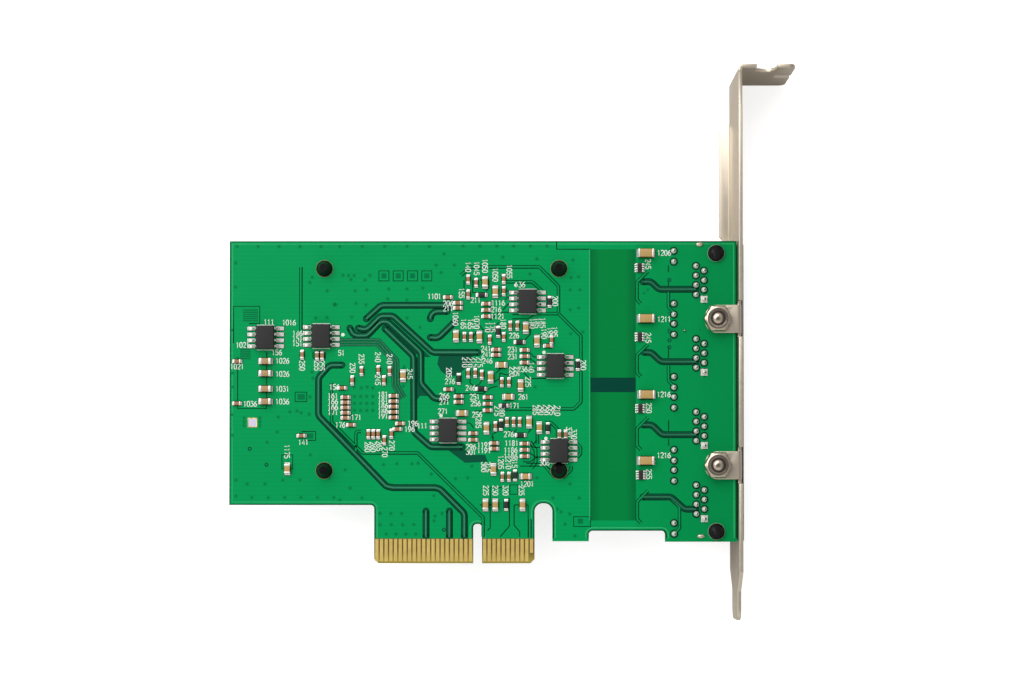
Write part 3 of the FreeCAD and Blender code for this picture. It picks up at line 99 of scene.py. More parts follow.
class CardColours(bpy.types.PropertyGroup):
    """Colours of the card's finishes"""

    mask: colour("Solder mask", "Green over copper", 0, 152, 83)
    mask_ports: colour("Mask at the ports", "Green of the part that carries the ports", 0, 146, 77)
    laminate: colour("Bare laminate", "Green where no copper lies under the mask", 0, 128, 60)
    band: colour("Shadowed band", "Darkest green, over a dark inner layer", 0, 66, 52)
    clearance: colour("Clearance", "Gap beside a heavy track", 4, 84, 58)
    faint: colour("Faint gap", "Small gaps and covered vias", 0, 116, 66)
    rim: colour("Gap line", "Thin gap in the copper", 0, 62, 36)
    port_core: colour("Port tracks", "Top of the heavy tracks at the ports", 42, 112, 82)
    # Also serves as the painted shade round the chip parts and the lead pads.
    core: colour("Heavy track", "Track along the middle of a clearance", 52, 132, 97)
    # Painted highlight along the copper's edge inside the board's edge; also the pale line beside the bare
    # strip.
    pale: colour("Pale rim", "Light line beside the board's edge", 60, 184, 118)
    laminate_side: colour("Laminate sides", "Green at the bare strip's long sides", 0, 98, 50)
    halo: colour("Via rims", "Green round a covered via", 0, 143, 78)
    via_middle: colour("Via middles", "Green of a covered via", 0, 124, 69)
    stain: colour("Stain", "Brown between the contacts' upper ends", 104, 84, 46)
    olive: colour("Bare tab", "Yellow green between the contacts", 168, 150, 70)
    sawn_dark: colour("Sawn edge", "Dark streaks of the board's sides", 20, 70, 40)
    sawn_light: colour("Sawn edge, light", "Light streaks of the board's sides", 40, 110, 66)
    # Painted highlight: the pale ring round each of the jack's pegs stands for light caught on the pegs'
    # rims.
    peg_rim: colour("Peg rims", "Pale line round the jack's pegs", 132, 176, 140)
    pin_rim: colour("Pin rims", "Dull gold round the drilled pins", 140, 138, 92)
    test_pad: colour("Test pad", "Face of the bare test pad", 214, 206, 226)
    marking: colour("Marking", "Printed numbers and outlines", 232, 242, 232)
    tail: colour("Cut tails", "Ends of the tails in their solder", 96, 90, 84)
    tin: colour("Solder", "Bright solder and plated ends", 240, 239, 232)
    leg_solder: colour("Leg solder", "Solder on the shield's legs", 196, 192, 168)
    ceramic: colour("Small capacitor", "Fired body of the small capacitors", 164, 116, 74)
    ceramic_worn: colour("Grey ceramic", "Bodies of the supply capacitors", 176, 142, 96)
    ceramic_pale: colour("Large capacitor", "Fired body of the larger capacitors", 188, 154, 92)
    glaze: colour("Resistor", "Dark glaze of the resistors", 44, 42, 40)
    mould: colour("Chip", "Moulded chip bodies", 58, 57, 57)
    gold: colour("Contacts", "Gold plating", 240, 208, 118)
    nickel: colour("Bracket", "Nickel plating", 214, 202, 184)
    # Painted shade: the dark between a screw and its nut, also used round the pins' feet.
    gap: colour("Thread gap", "Shade between a screw and its nut", 52, 44, 40)
    fastener: colour("Screws and nuts", "Nickel plating of the fasteners", 202, 187, 168)
    shield: colour("Shield", "Tin plating of the ports' shield", 200, 198, 192)
    plastic: colour("Plastic", "Black moulded plastic", 16, 16, 17)
    sink: colour("Heat sink", "Black anodised metal", 30, 31, 34)
    light_guide: colour("Indicator lamps", "Clear plastic of the lamps", 214, 232, 206)
    rubber: colour("Thermal pads", "Grey rubber under the heat sink", 142, 146, 152)
    carrier: colour("Chip carriers", "Laminate that carries the large chips", 24, 92, 58)
    ferrite: colour("Inductors", "Pressed ferrite", 74, 75, 78)
    polymer: colour("Polymer capacitors", "Their moulded cases", 44, 42, 40)


class CardSizes(bpy.types.PropertyGroup):
    """Sizes of what is printed, etched and soldered on the card"""

    track_gap: length("Clearance width", "Width of a heavy track with the gap beside it", 1.5)
    track_core: length("Heavy track width", "Width of a heavy track's middle", 0.42)
    thin_gap: length("Thin track width", "Width of a thin track with its two gaps", 0.75)
    thin_core: length("Thin track's copper", "Width of a thin track's middle", 0.38)
    gap_line: length("Gap line width", "Width of a single gap line", 0.23)
    bend: length("Track bend", "Radius where a heavy track turns", 1.6)
    via: length("Via", "Radius of a covered via", 0.34)
    numeral: length("Numeral height", "Height of the printed numbers", 1.08)
    stroke: length("Print stroke", "Width of a printed line", 0.19)
    print_height: length("Print thickness", "Thickness of the printed lines", 0.02)
    joint: length("Solder joint", "Radius of a soldered tail", 0.58)
    ring: length("Joint ring", "Radius of the gap round a soldered tail", 0.9)
    edge_ease: length("Sheet edge", "Rounding of the folded sheet's edges", 0.14)


class CardStage(bpy.types.PropertyGroup):
    """Table, light and camera"""

    sky: FloatProperty(name="Room light", description="Strength of the even light", default=0.6)
    lamp: FloatProperty(name="Lamp", description="Power of the soft lamp", default=7.1, unit="POWER")
    lens: FloatProperty(name="Lens", description="Focal length", default=LENS, unit="CAMERA")
    seed: IntProperty(name="Seed", description="Seed of the solder's uneven lumps", default=7)


# Sockets and nodes

class Field:
    """A socket whose sums and products add Math nodes."""

    def __init__(self, graph, socket):
        self.graph = graph
        self.socket = socket

    def _math(self, operation, first, second=0.0, clamp=False):
        values = {0: first, 1: second}
        return self.graph.node("ShaderNodeMath", {"operation": operation, "use_clamp": clamp}, values)

    def __add__(self, other):
        return self._math("ADD", self, other)

    __radd__ = __add__

    def __sub__(self, other):
        return self._math("SUBTRACT", self, other)

    def __rsub__(self, other):
        return self._math("SUBTRACT", other, self)

    def __mul__(self, other):
        return self._math("MULTIPLY", self, other)

    __rmul__ = __mul__

    def __abs__(self):
        return self._math("ABSOLUTE", self)

    def above(self, level):
        return self._math("GREATER_THAN", self, level)

    def below(self, level):
        return self._math("LESS_THAN", self, level)

    def sine(self):
        return self._math("SINE", self)

    def ramp(self, low, high):
        """0 below low, 1 above high, even between."""
        return self._math("MULTIPLY", self - low, 1.0 / (high - low), clamp=True)


class Tree:
    """A node tree: one method adds any node."""

    def __init__(self, tree):
        self.tree = tree

    def node(self, kind, settings=None, inputs=None, out=0):
        """Adds a node: its settings first, then the values or links of its sockets."""
        node = self.tree.nodes.new(kind)
        for key, value in (settings or {}).items():
            setattr(node, key, value)
        for key, value in (inputs or {}).items():
            socket = node.inputs[key]
            if isinstance(value, Field):
                self.tree.links.new(value.socket, socket)
            else:
                socket.default_value = value
        return Field(self, node.outputs[out])


class Graph(Tree):
    """A material's node tree with one principled shader."""

    def __init__(self, name):
        self.material = bpy.data.materials.new(name)
        self.material.use_nodes = True
        super().__init__(self.material.node_tree)
        self.shader = self.tree.nodes["Principled BSDF"]
        self.output = self.tree.nodes["Material Output"]
        self.places = self.node("ShaderNodeTexCoord", out="Object")

    def noise(self, scale, detail=2.0, stretch=None):
        vector = self.places
        if stretch:
            vector = self.node("ShaderNodeMapping", {}, {"Vector": self.places, "Scale": stretch})
        return self.node("ShaderNodeTexNoise", {}, {"Vector": vector, "Scale": scale, "Detail": detail})

    def parts(self, vector):
        """X, Y and Z of a vector."""
        split = self.node("ShaderNodeSeparateXYZ", {}, {"Vector": vector}).socket.node
        return [Field(self, split.outputs[axis]) for axis in "XYZ"]

    def axes(self):
        """X, Y and Z of the object coordinates, in metres."""
        return self.parts(self.places)

    def facing(self):
        """X, Y and Z of the surface's normal."""
        return self.parts(self.node("ShaderNodeNewGeometry", out="Normal"))

    def mix(self, factor, first, second):
        def end(value):
            return value if isinstance(value, Field) else (*value[:3], 1.0)
        node = self.node("ShaderNodeMix", {"data_type": "RGBA"}, {0: factor}).socket.node
        for number, value in ((6, end(first)), (7, end(second))):
            if isinstance(value, Field):
                self.tree.links.new(value.socket, node.inputs[number])
            else:
                node.inputs[number].default_value = value
        return Field(self, node.outputs[2])

    def bump(self, height, strength, distance):
        inputs = {"Height": height, "Strength": strength, "Distance": distance * MM}
        return self.node("ShaderNodeBump", {}, inputs, out="Normal")

    def set(self, **sockets):
        """Sets or links the principled shader's sockets, named with underscores."""
        for key, value in sockets.items():
            socket = self.shader.inputs[key.replace("_", " ")]
            if isinstance(value, Field):
                self.tree.links.new(value.socket, socket)
            elif hasattr(value, "__len__"):
                socket.default_value = (*value[:3], 1.0)
            else:
                socket.default_value = value
        return self.material


class Recipe(Tree):
    """A Geometry Nodes tree with named inputs that ends in Realize Instances and Set Material."""

    KINDS = {float: "NodeSocketFloat", int: "NodeSocketInt", object: "NodeSocketObject"}

    def __init__(self, name, **inputs):
        tree = bpy.data.node_groups.new(name, "GeometryNodeTree")
        super().__init__(tree)
        face = tree.interface
        face.new_socket("Geometry", in_out="INPUT", socket_type="NodeSocketGeometry")
        for label, kind in inputs.items():
            face.new_socket(label, in_out="INPUT", socket_type=self.KINDS[kind])
        face.new_socket("Material", in_out="INPUT", socket_type="NodeSocketMaterial")
        face.new_socket("Geometry", in_out="OUTPUT", socket_type="NodeSocketGeometry")
        self.entry = tree.nodes.new("NodeGroupInput")
        self.exit = tree.nodes.new("NodeGroupOutput")
        self.names = {
            item.name: item.identifier for item in face.items_tree if item.in_out == "INPUT"
        }

    def given(self, label):
        return Field(self, self.entry.outputs[label])

    def finish(self, shape):
        real = self.node("GeometryNodeRealizeInstances", {}, {"Geometry": shape})
        inputs = {"Geometry": real, "Material": self.given("Material")}
        done = self.node("GeometryNodeSetMaterial", {}, inputs)
        self.tree.links.new(done.socket, self.exit.inputs[0])
        return self

    def run(self, name, mesh, material, slot, **values):
        """Runs the tree on a mesh and gives the result as a plain piece."""
        seed = bpy.data.objects.new(f"{name}_seed", mesh)
        bpy.context.scene.collection.objects.link(seed)
        modifier = seed.modifiers.new("recipe", "NODES")
        modifier.node_group = self.tree
        for label, value in {**values, "Material": material}.items():
            modifier[self.names[label]] = value
        depsgraph = bpy.context.evaluated_depsgraph_get()
        made = bpy.data.meshes.new_from_object(seed.evaluated_get(depsgraph))
        bpy.data.objects.remove(seed)
        if not made.polygons:
            raise RuntimeError(f"{name} came out empty")
        return piece(name, made)


def ribbon_recipe():
    """A flat strip along each chain of edges, with rounded turns."""
    recipe = Recipe("strip_along_path", Width=float, Height=float, Bend=float, Steps=int)
    path = recipe.node("GeometryNodeMeshToCurve", {}, {"Mesh": recipe.given("Geometry")})
    turns = {
        "Curve": path, "Count": recipe.given("Steps"), "Radius": recipe.given("Bend"), "Limit Radius": True,
    }
    bent = recipe.node("GeometryNodeFilletCurve", {"mode": "POLY"}, turns)
    level = recipe.node("GeometryNodeSetCurveNormal", {"mode": "Z_UP"}, {"Curve": bent})
    section = {"Width": recipe.given("Width"), "Height": recipe.given("Height")}
    profile = recipe.node("GeometryNodeCurvePrimitiveQuadrilateral", {"mode": "RECTANGLE"}, section)
    inputs = {"Curve": level, "Profile Curve": profile, "Fill Caps": True}
    return recipe.finish(recipe.node("GeometryNodeCurveToMesh", {}, inputs))


def spread_recipe():
    """A shape at each point, with the point's own size and turn about Z."""
    recipe = Recipe("shape_at_points", Shape=object)
    wanted = {"Object": recipe.given("Shape"), "As Instance": True}
    shape = recipe.node("GeometryNodeObjectInfo", {}, wanted, out="Geometry")
    size = recipe.node("GeometryNodeInputNamedAttribute", {"data_type": "FLOAT_VECTOR"}, {"Name": "size"})
    turn = recipe.node("GeometryNodeInputNamedAttribute", {"data_type": "FLOAT"}, {"Name": "turn"})
    spin = recipe.node("ShaderNodeCombineXYZ", {}, {"Z": turn})
    inputs = {"Points": recipe.given("Geometry"), "Instance": shape, "Rotation": spin, "Scale": size}
    return recipe.finish(recipe.node("GeometryNodeInstanceOnPoints", {}, inputs))


# Meshes

def piece(name, mesh, replaced=(), material=None):
    """Names a finished mesh as a piece of the card."""
    mesh.name = name
    if material:
        mesh.materials.clear()
        mesh.materials.append(material)
    made = bpy.data.objects.new(name, mesh)
    bpy.context.scene.collection.objects.link(made)
    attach(made, BODY)
    if replaced:
        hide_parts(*replaced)
    return made


def plain_mesh(shape, name, smooth_angle=0.0):
    """A mesh from a bmesh, with faces outward."""
    bmesh.ops.recalc_face_normals(shape, faces=shape.faces)
    mesh = bpy.data.meshes.new(name)
    shape.to_mesh(mesh)
    shape.free()
    if smooth_angle:
        mesh.shade_smooth()
        mesh.set_sharp_from_angle(angle=math.radians(smooth_angle))
    return mesh


def merged(node):
    """A copy of a solid's mesh with its loose triangles joined."""
    shape = bmesh.new()
    shape.from_mesh(NODES[node].data)
    bmesh.ops.remove_doubles(shape, verts=shape.verts, dist=1e-6)
    return shape


def solids(node):
    """Boxes of a node's separate solids, as (centre, size) in millimetres."""
    shape = merged(node)
    left = set(shape.verts)
    boxes = []
    while left:
        waiting = [left.pop()]
        found = []
        while waiting:
            vertex = waiting.pop()
            found.append(vertex.co / MM)
            for edge in vertex.link_edges:
                other = edge.other_vert(vertex)
                if other in left:
                    left.remove(other)
                    waiting.append(other)
        low = Vector([min(point[axis] for point in found) for axis in range(3)])
        high = Vector([max(point[axis] for point in found) for axis in range(3)])
        boxes.append(((low + high) / 2, high - low))
    shape.free()
    boxes.sort(key=lambda box: (round(box[0].x, 2), round(box[0].y, 2)))
    return boxes


def eased(name, node, width, material, steps=2, sharp_from=30.0, clamped=True):
    """A solid's copy with its sharp edges rounded."""
    shape = merged(node)
    bmesh.ops.dissolve_limit(shape, angle_limit=math.radians(0.1), verts=shape.verts, edges=shape.edges)
    limit = math.radians(sharp_from)
    sharp = [edge for edge in shape.edges if edge.is_manifold and edge.calc_face_angle(0.0) > limit]
    bmesh.ops.bevel(
        shape, geom=sharp, offset=width, segments=steps, profile=0.5, affect="EDGES", clamp_overlap=clamped
    )
    return piece(name, plain_mesh(shape, name, 40.0), (node,), material)


def drawn_in(name, node, material):
    """The jack's solid with its rear drawn in, so that the board's notch shows nothing below it."""
    shape = merged(node)
    for vertex in shape.verts:
        if vertex.co.x < JACK_REAR * MM:
            vertex.co.x += JACK_DRAWN_IN * MM
    return piece(name, plain_mesh(shape, name, 30.0), (node,), material)


def path_mesh(paths, level):
    """Chains of edges at one height, from points in millimetres; a closed one ends where it starts."""
    points = []
    edges = []
    for path in paths:
        closed = path[0] == path[-1] and len(path) > 2
        kept = path[:-1] if closed else path
        first = len(points)
        points += [(x * MM, y * MM, level * MM) for x, y in kept]
        edges += [(first + n, first + n + 1) for n in range(len(kept) - 1)]
        if closed:
            edges.append((len(points) - 1, first))
    mesh = bpy.data.meshes.new("path")
    mesh.from_pydata(points, edges, [])
    return mesh


def strips(name, paths, width, material, bend=0.0, steps=3, slot="solder_mask", top=None):
    """Flat strips along paths, from the board's face up to the piece's top or the given one."""
    top = top or TOPS[name]
    mesh = path_mesh(paths, SOLDER_Z + top / 2)
    return RECIPES["strip"].run(
        name, mesh, material, slot, Width=width, Height=top * MM, Bend=bend, Steps=steps
    )


def plates(name, outlines, material):
    """Flat plates from outlines in millimetres, on the board's face; a closed one ends where it starts."""
    shape = bmesh.new()
    for outline in outlines:
        corners = outline[:-1] if outline[0] == outline[-1] else outline
        low = [shape.verts.new((x * MM, y * MM, SOLDER_Z * MM)) for x, y in corners]
        high = [shape.verts.new((x * MM, y * MM, (SOLDER_Z + TOPS[name]) * MM)) for x, y in corners]
        shape.faces.new(low)
        shape.faces.new(high)
        for n in range(len(low)):
            after = (n + 1) % len(low)
            shape.faces.new((low[n], low[after], high[after], high[n]))
    return piece(name, plain_mesh(shape, name), (), material)


def spread(name, shape, places, material, slot, replaced=()):
    """A shape at each place: (point in millimetres, size in millimetres, turn in degrees)."""
    mesh = bpy.data.meshes.new("places")
    mesh.from_pydata([Vector(point) * MM for point, size, turn in places], [], [])
    mesh.attributes.new("size", "FLOAT_VECTOR", "POINT")
    mesh.attributes.new("turn", "FLOAT", "POINT")
    for number, (point, size, turn) in enumerate(places):
        mesh.attributes["size"].data[number].vector = Vector(size) * MM
        mesh.attributes["turn"].data[number].value = math.radians(turn)
    holder = bpy.data.objects.new("shape", shape)
    bpy.context.scene.collection.objects.link(holder)
    made = RECIPES["spread"].run(name, mesh, material, slot, Shape=holder)
    bpy.data.objects.remove(holder)
    if replaced:
        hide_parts(*replaced)
    return made


def block_shape(ease=0.08, steps=2):
    """A block of size 1 that stands on its origin, with rounded edges."""
    shape = bmesh.new()
    bmesh.ops.create_cube(shape, size=1.0)
    bmesh.ops.translate(shape, verts=shape.verts, vec=(0, 0, 0.5))
    bmesh.ops.bevel(shape, geom=list(shape.edges), offset=ease, segments=steps, profile=0.5, affect="EDGES")
    return plain_mesh(shape, "block", 50.0)


def turned_shape(profile, sides=16):
    """A closed form turned about Z from (radius, height) points, from its foot up."""
    shape = bmesh.new()
    rings = []
    for radius, height in profile:
        if radius == 0.0:
            rings.append([shape.verts.new((0, 0, height))])
            continue
        turns = [2 * math.pi * n / sides for n in range(sides)]
        rings.append([shape.verts.new((radius * math.cos(a), radius * math.sin(a), height)) for a in turns])
    shape.faces.new(rings[0])
    for low, high in zip(rings, rings[1:]):
        for n in range(sides):
            after = (n + 1) % sides
            if len(high) == 1:
                shape.faces.new((low[n], low[after], high[0]))
            else:
                shape.faces.new((low[n], low[after], high[after], high[n]))
    if len(rings[-1]) > 1:
        shape.faces.new(rings[-1])
    return plain_mesh(shape, "turned", 50.0)


def discs(name, spots, radius, material, sides=16, top=None):
    """Flat discs on the board's face, up to the piece's top or the given one."""
    top = top or TOPS[name]
    places = [((x, y, SOLDER_Z), (radius, radius, top), 0) for x, y in spots]
    spread(name, turned_shape([(1.0, 0.0), (1.0, 1.0)], sides), places, material, "solder_mask")


def heel_shape():
    """Solder that climbs an end: a hollow slope of size 1 along +X, as wide as it is high."""
    slope = [(0.0, 1.0), (0.12, 0.72), (0.3, 0.42), (0.58, 0.18), (1.0, 0.06), (1.0, 0.0), (0.0, 0.0)]
    shape = bmesh.new()
    sides = []
    for across in (-0.5, 0.5):
        sides.append([shape.verts.new((x, across * (1.0 - 0.15 * x), z)) for x, z in slope])
    for side in sides:
        shape.faces.new(side)
    count = len(slope)
    for n in range(count):
        after = (n + 1) % count
        shape.faces.new((sides[0][n], sides[0][after], sides[1][after], sides[1][n]))
    return plain_mesh(shape, "heel", 50.0)


RECIPES = {}

# How high each film stands above the board's face, in millimetres
TOPS = {
    "board_edge_line": 0.012, "board_pale_line": 0.01, "peg_rims": 0.03, "pin_rings": 0.03,
    "pin_shades": 0.034, "heavy_gap_edges": 0.01, "heavy_gaps": 0.014, "heavy_track_shades": 0.02,
    "heavy_tracks": 0.035, "port_tracks": 0.035, "heavy_end_edges": 0.01, "heavy_ends": 0.014,
    "thin_gaps": 0.01, "thin_tracks": 0.018, "bus_gaps": 0.011, "bus_tracks": 0.02, "gap_lines": 0.012,
    "dark_areas": 0.008, "window_middles": 0.009, "hatched_patches": 0.009, "bare_strip": 0.009,
    "deep_band": 0.013, "strip_sides": 0.02, "via_halos": 0.007, "vias": 0.012, "test_pad_rim": 0.03,
    "test_pad": 0.02, "round_marks": 0.016, "joint_gaps": 0.014,
}

# The board's edge lines end above the contacts, at this Y in millimetres.
TAB_LINE_Y = -41.1

# The jack's rear lies below this X, and is drawn in by this much, in millimetres.
JACK_REAR = 31.6
JACK_DRAWN_IN = 2.75

# Places in millimetres where the mask's green changes and where painted shade darkens it at the ports, and
# the pitches of the weave under it
PORT_GREEN_X = 26.3
PORT_SHADE_X = (27.0, 47.0)
STRIP_MIDDLE_X = 21.5
SIDE_SHADE = (2.6, 4.9)
STAIN_HEIGHT = 2.2
GLASS_PITCH = 0.93
LAMINATE_PITCH = 0.6

# The jack's locating pegs lie between these, in millimetres.
PEG_X = (43.0, 44.2)

# Turned profiles in millimetres: radius, height above the piece's foot
SCREW_PROFILE = [
    (2.2, 0.0), (2.6, 0.12), (2.7, 0.4), (2.7, 1.69), (1.5, 1.7),
    (1.5, 5.7), (1.24, 5.74), (1.2, 5.95), (0.76, 6.28), (0.0, 6.22),
]
NUT_PROFILE = [(3.0, 0.0), (3.17, 0.12), (3.17, 1.2), (2.95, 1.62), (2.8, 1.7), (0.0, 1.7)]
NUT_SEAT = [(2.62, 1.5), (2.62, 1.66), (2.48, 1.8), (1.95, 1.8), (1.62, 1.72), (0.0, 1.72)]
# The dark disc round the screw at the nut's top is painted shade.
THREAD_SHADE = [(1.6, 1.6), (1.6, 1.735), (0.0, 1.735)]

# Turned profiles of size 1
DOME_PROFILE = [(1.0, 0.0), (0.99, 0.3), (0.9, 0.62), (0.75, 0.8), (0.5, 0.93), (0.0, 1.0)]
TIP_PROFILE = [(1.0, 0.0), (1.0, 0.7), (0.7, 1.0), (0.0, 1.0)]
JOINT_PROFILE = [
    (1.0, 0.0), (0.98, 0.14), (0.86, 0.36), (0.66, 0.56), (0.5, 0.68), (0.46, 0.74), (0.42, 0.94),
    (0.3, 1.0), (0.0, 0.98),
]

# Lumps of solder on the shield's legs, in millimetres: middle X and Y, width and depth
LEG_LUMPS = ((40.0, 21.7, 1.9, 1.1), (40.3, -40.7, 1.9, 1.0), (36.8, 3.3, 0.7, 0.5))

# The table's reach in metres, its whites and its glow, and the lamp's size and place in metres
TABLE_REACH = 1.5
TABLE_WHITE = (0.8, 0.8, 0.8)
TABLE_MIRRORED = (0.62, 0.61, 0.59)
TABLE_GLOW = 0.65
LAMP_SIZE = (1.1, 0.9)
LAMP_PLACE = (-0.42, 0.5, 0.8)


# Finishes

def finish(
    name, shade, roughness, metallic=0.0, grain=0.06, scale=2500.0, relief=0.01, specular=0.5, coat=0.0
):
    """One colour whose tone, roughness and relief vary finely and broadly."""
    graph = Graph(name)
    fine = graph.noise(scale, 3.0)
    broad = graph.noise(scale / 14.0, 2.0)
    darker = tuple(part * (1.0 - 2.0 * grain) for part in shade)
    lighter = tuple(min(1.0, part * (1.0 + grain)) for part in shade)
    tone = graph.mix(fine * 0.5 + broad * 0.5, darker, lighter)
    graph.shader.inputs["Specular IOR Level"].default_value = specular
    return graph.set(
        Base_Color=tone,
        Roughness=fine * 0.16 + broad * 0.08 + (roughness - 0.12),
        Metallic=metallic,
        Coat_Weight=coat,
        Normal=graph.bump(fine, 0.25, relief),
    )


def film(name, shade, roughness=0.5):
    """The finish of a thin film on the mask, with the mask's weak sheen."""
    return finish(name, shade, roughness, specular=SHEEN)


def threads(along, pitch):
    """Even waves along a coordinate, between 0 and 1, from their pitch in millimetres."""
    return (along * (2.0 * math.pi / (pitch * MM))).sine() * 0.5 + 0.5


def mask_finish(name, look):
    """Solder mask over copper: even green, its own green at the ports darkened towards the bracket by
    painted shade, brown between the contacts.
    """
    graph = Graph(name)
    x, y, z = graph.axes()
    weave = threads(y, GLASS_PITCH)
    broad = graph.noise(60.0, 2.0)
    fine = graph.noise(1500.0, 3.0)
    light = tuple(part * 1.1 for part in look.mask)
    dark = tuple(part * 0.9 for part in look.mask)
    green = graph.mix(weave * 0.25 + broad * 0.75, dark, light)
    # Painted shade: the ports' green darkens towards the bracket.
    deep = tuple(part * 0.82 for part in look.mask_ports)
    ports = graph.mix(x.ramp(*[reach * MM for reach in PORT_SHADE_X]), look.mask_ports, deep)
    tone = graph.mix(x.above(PORT_GREEN_X * MM), green, ports)
    beside_contacts = 0.4 * MM
    below_top = y.below(CONTACTS_HIGH.y + 0.1 * MM)
    past_left = x.above(CONTACTS_LOW.x - beside_contacts)
    before_right = x.below(CONTACTS_HIGH.x + beside_contacts)
    bare = below_top * past_left * before_right
    olive = graph.mix(y.ramp(CONTACTS_LOW.y, CONTACTS_LOW.y + STAIN_HEIGHT * MM), look.olive, look.stain)
    tone = graph.mix(bare, tone, olive)
    up = abs(graph.facing()[2])
    sawn = graph.mix(graph.noise(900.0, 3.0, (1.0, 1.0, 6.0)), look.sawn_dark, look.sawn_light)
    tone = graph.mix(up.above(0.7), sawn, tone)
    graph.shader.inputs["Specular IOR Level"].default_value = SHEEN
    return graph.set(
        Base_Color=tone,
        Roughness=fine * 0.1 + 0.34,
        Normal=graph.bump(fine * 0.4 + weave * 0.6, 0.1, 0.01),
    )


def laminate_finish(name, shade, edge):
    """Bare laminate under mask, darker at its two long sides."""
    graph = Graph(name)
    x, y, z = graph.axes()
    off = abs(x - STRIP_MIDDLE_X * MM).ramp(*[reach * MM for reach in SIDE_SHADE])
    weave = threads(y, LAMINATE_PITCH)
    tone = graph.mix(off * 0.75 + weave * 0.06, shade, edge)
    graph.shader.inputs["Specular IOR Level"].default_value = SHEEN
    return graph.set(Base_Color=tone, Roughness=0.4, Normal=graph.bump(graph.noise(1500.0), 0.15, 0.01))


def assign(node, material):
    """Gives a solid of the part its finish."""
    for slot in NODES[node].material_slots:
        slot.link = "OBJECT"
        slot.material = material


# Readings of the photograph

def on_board(px, py):
    """Where the solder side lies behind a pixel, in millimetres rounded to hundredths, then to tenths."""
    across = px - PHOTO_WIDTH / 2
    up = PHOTO_HEIGHT / 2 + RISE * PHOTO_WIDTH - py
    way = EYE_TURN @ Vector((across, up, -LENS / SENSOR * PHOTO_WIDTH))
    seen = EYE + way * ((SOLDER_Z - EYE.z) / way.z)
    return tuple(round(round(part, 2), 1) for part in seen.xy)


def places_read(text):
    """Places on the board, each read from the photograph as x,y in pixels."""
    return [on_board(*map(float, reading.split(","))) for reading in text.split()]


def paths_read(text):
    """Paths on the board, one to a line."""
    return [places_read(line) for line in text.strip().splitlines()]


def labels_read(text):
    """Places of printed numbers, each x,y in pixels and how many digits."""
    labels = []
    for label in text.split():
        px, py, digits = label.split(",")
        labels.append((*on_board(float(px), float(py)), int(digits)))
    return labels


# What is laid on the solder side: read from the photograph in pixels, or else in millimetres from the origin

ROUTES = {
    "board_feed": places_read(
        "342,365 330,365 318.5,377.7 318.3,415.6 386.2,486.2 392.8,487.6 434.9,487.6 440,489 464.3,513.3"
        " 464.2,537"
    ),
    "upper_rail": places_read("366.5,319 381.1,305.4 460,305.4"),
    "middle_rail": places_read("358.5,328.3 366.1,330 380.2,316.2 392.8,316.2 432.5,352.6 478,352.6"),
    "lower_rail": places_read(
        "350,328 353.5,335.4 367.1,335.4 380.6,321.8 387.6,321.8 420.8,352.5 420.8,383.3 434.4,398.6"
        " 446,398.6"
    ),
    "core_feed": places_read("385,328.5 413.4,356.2 413.8,431.9 430.7,446.8 462,446.8"),
    "short_hook": places_read("447,311.2 430.7,311.2 430.3,319"),
    "short_slope": places_read("430.5,337.5 438.5,338 455.5,321"),
    "contact_stub_1": places_read("425.9,511 425.9,537"),
    "contact_stub_2": places_read("449.6,511 449.6,537"),
}
PORT_ROUTES = paths_read("""
643,282 650.4,281.5 658.8,289.5 696,289.5
644,352.5 651,352.5 660.9,361.9 696,361.9
643,425 652,424.8 661.9,434.6 696,434.6
643,497 670.8,497 684.5,509 696,509
""")
THIN_ROUTES = paths_read("""
300.7,267 300.7,331
461,275.5 470,267 539.5,266.8 558.5,286 558.5,313.5 581,336 581,402 574,409 505,409
501.5,281.8 532.5,281.8 542,291
534,313.8 558.5,313.8
331.5,383 331.5,422 362.5,452.9 417.5,452.9 483,517.8 483,537
355.8,451 355.8,431.5 361,431.5
574,441 580.5,447.5 580.5,454 575,459.5
545,422.5 551,422.5 557.5,429 557.5,436
555.5,478 542,463
563,478 571,470 571,466
530,538 530,519
672,499.5 679.5,507.5 679.5,528.5 675,533
668.5,292 668.5,307 673.5,312
668.5,366 668.5,381 673.5,386
""")
PORTS_TOP = 13.53
PORT_PITCH = 15.63
PORT_COUNT = 4
SIDE_ROUTE = ((29.0, 2.4), (26.7, 0.1), (26.7, -3.7), (27.5, -4.5))
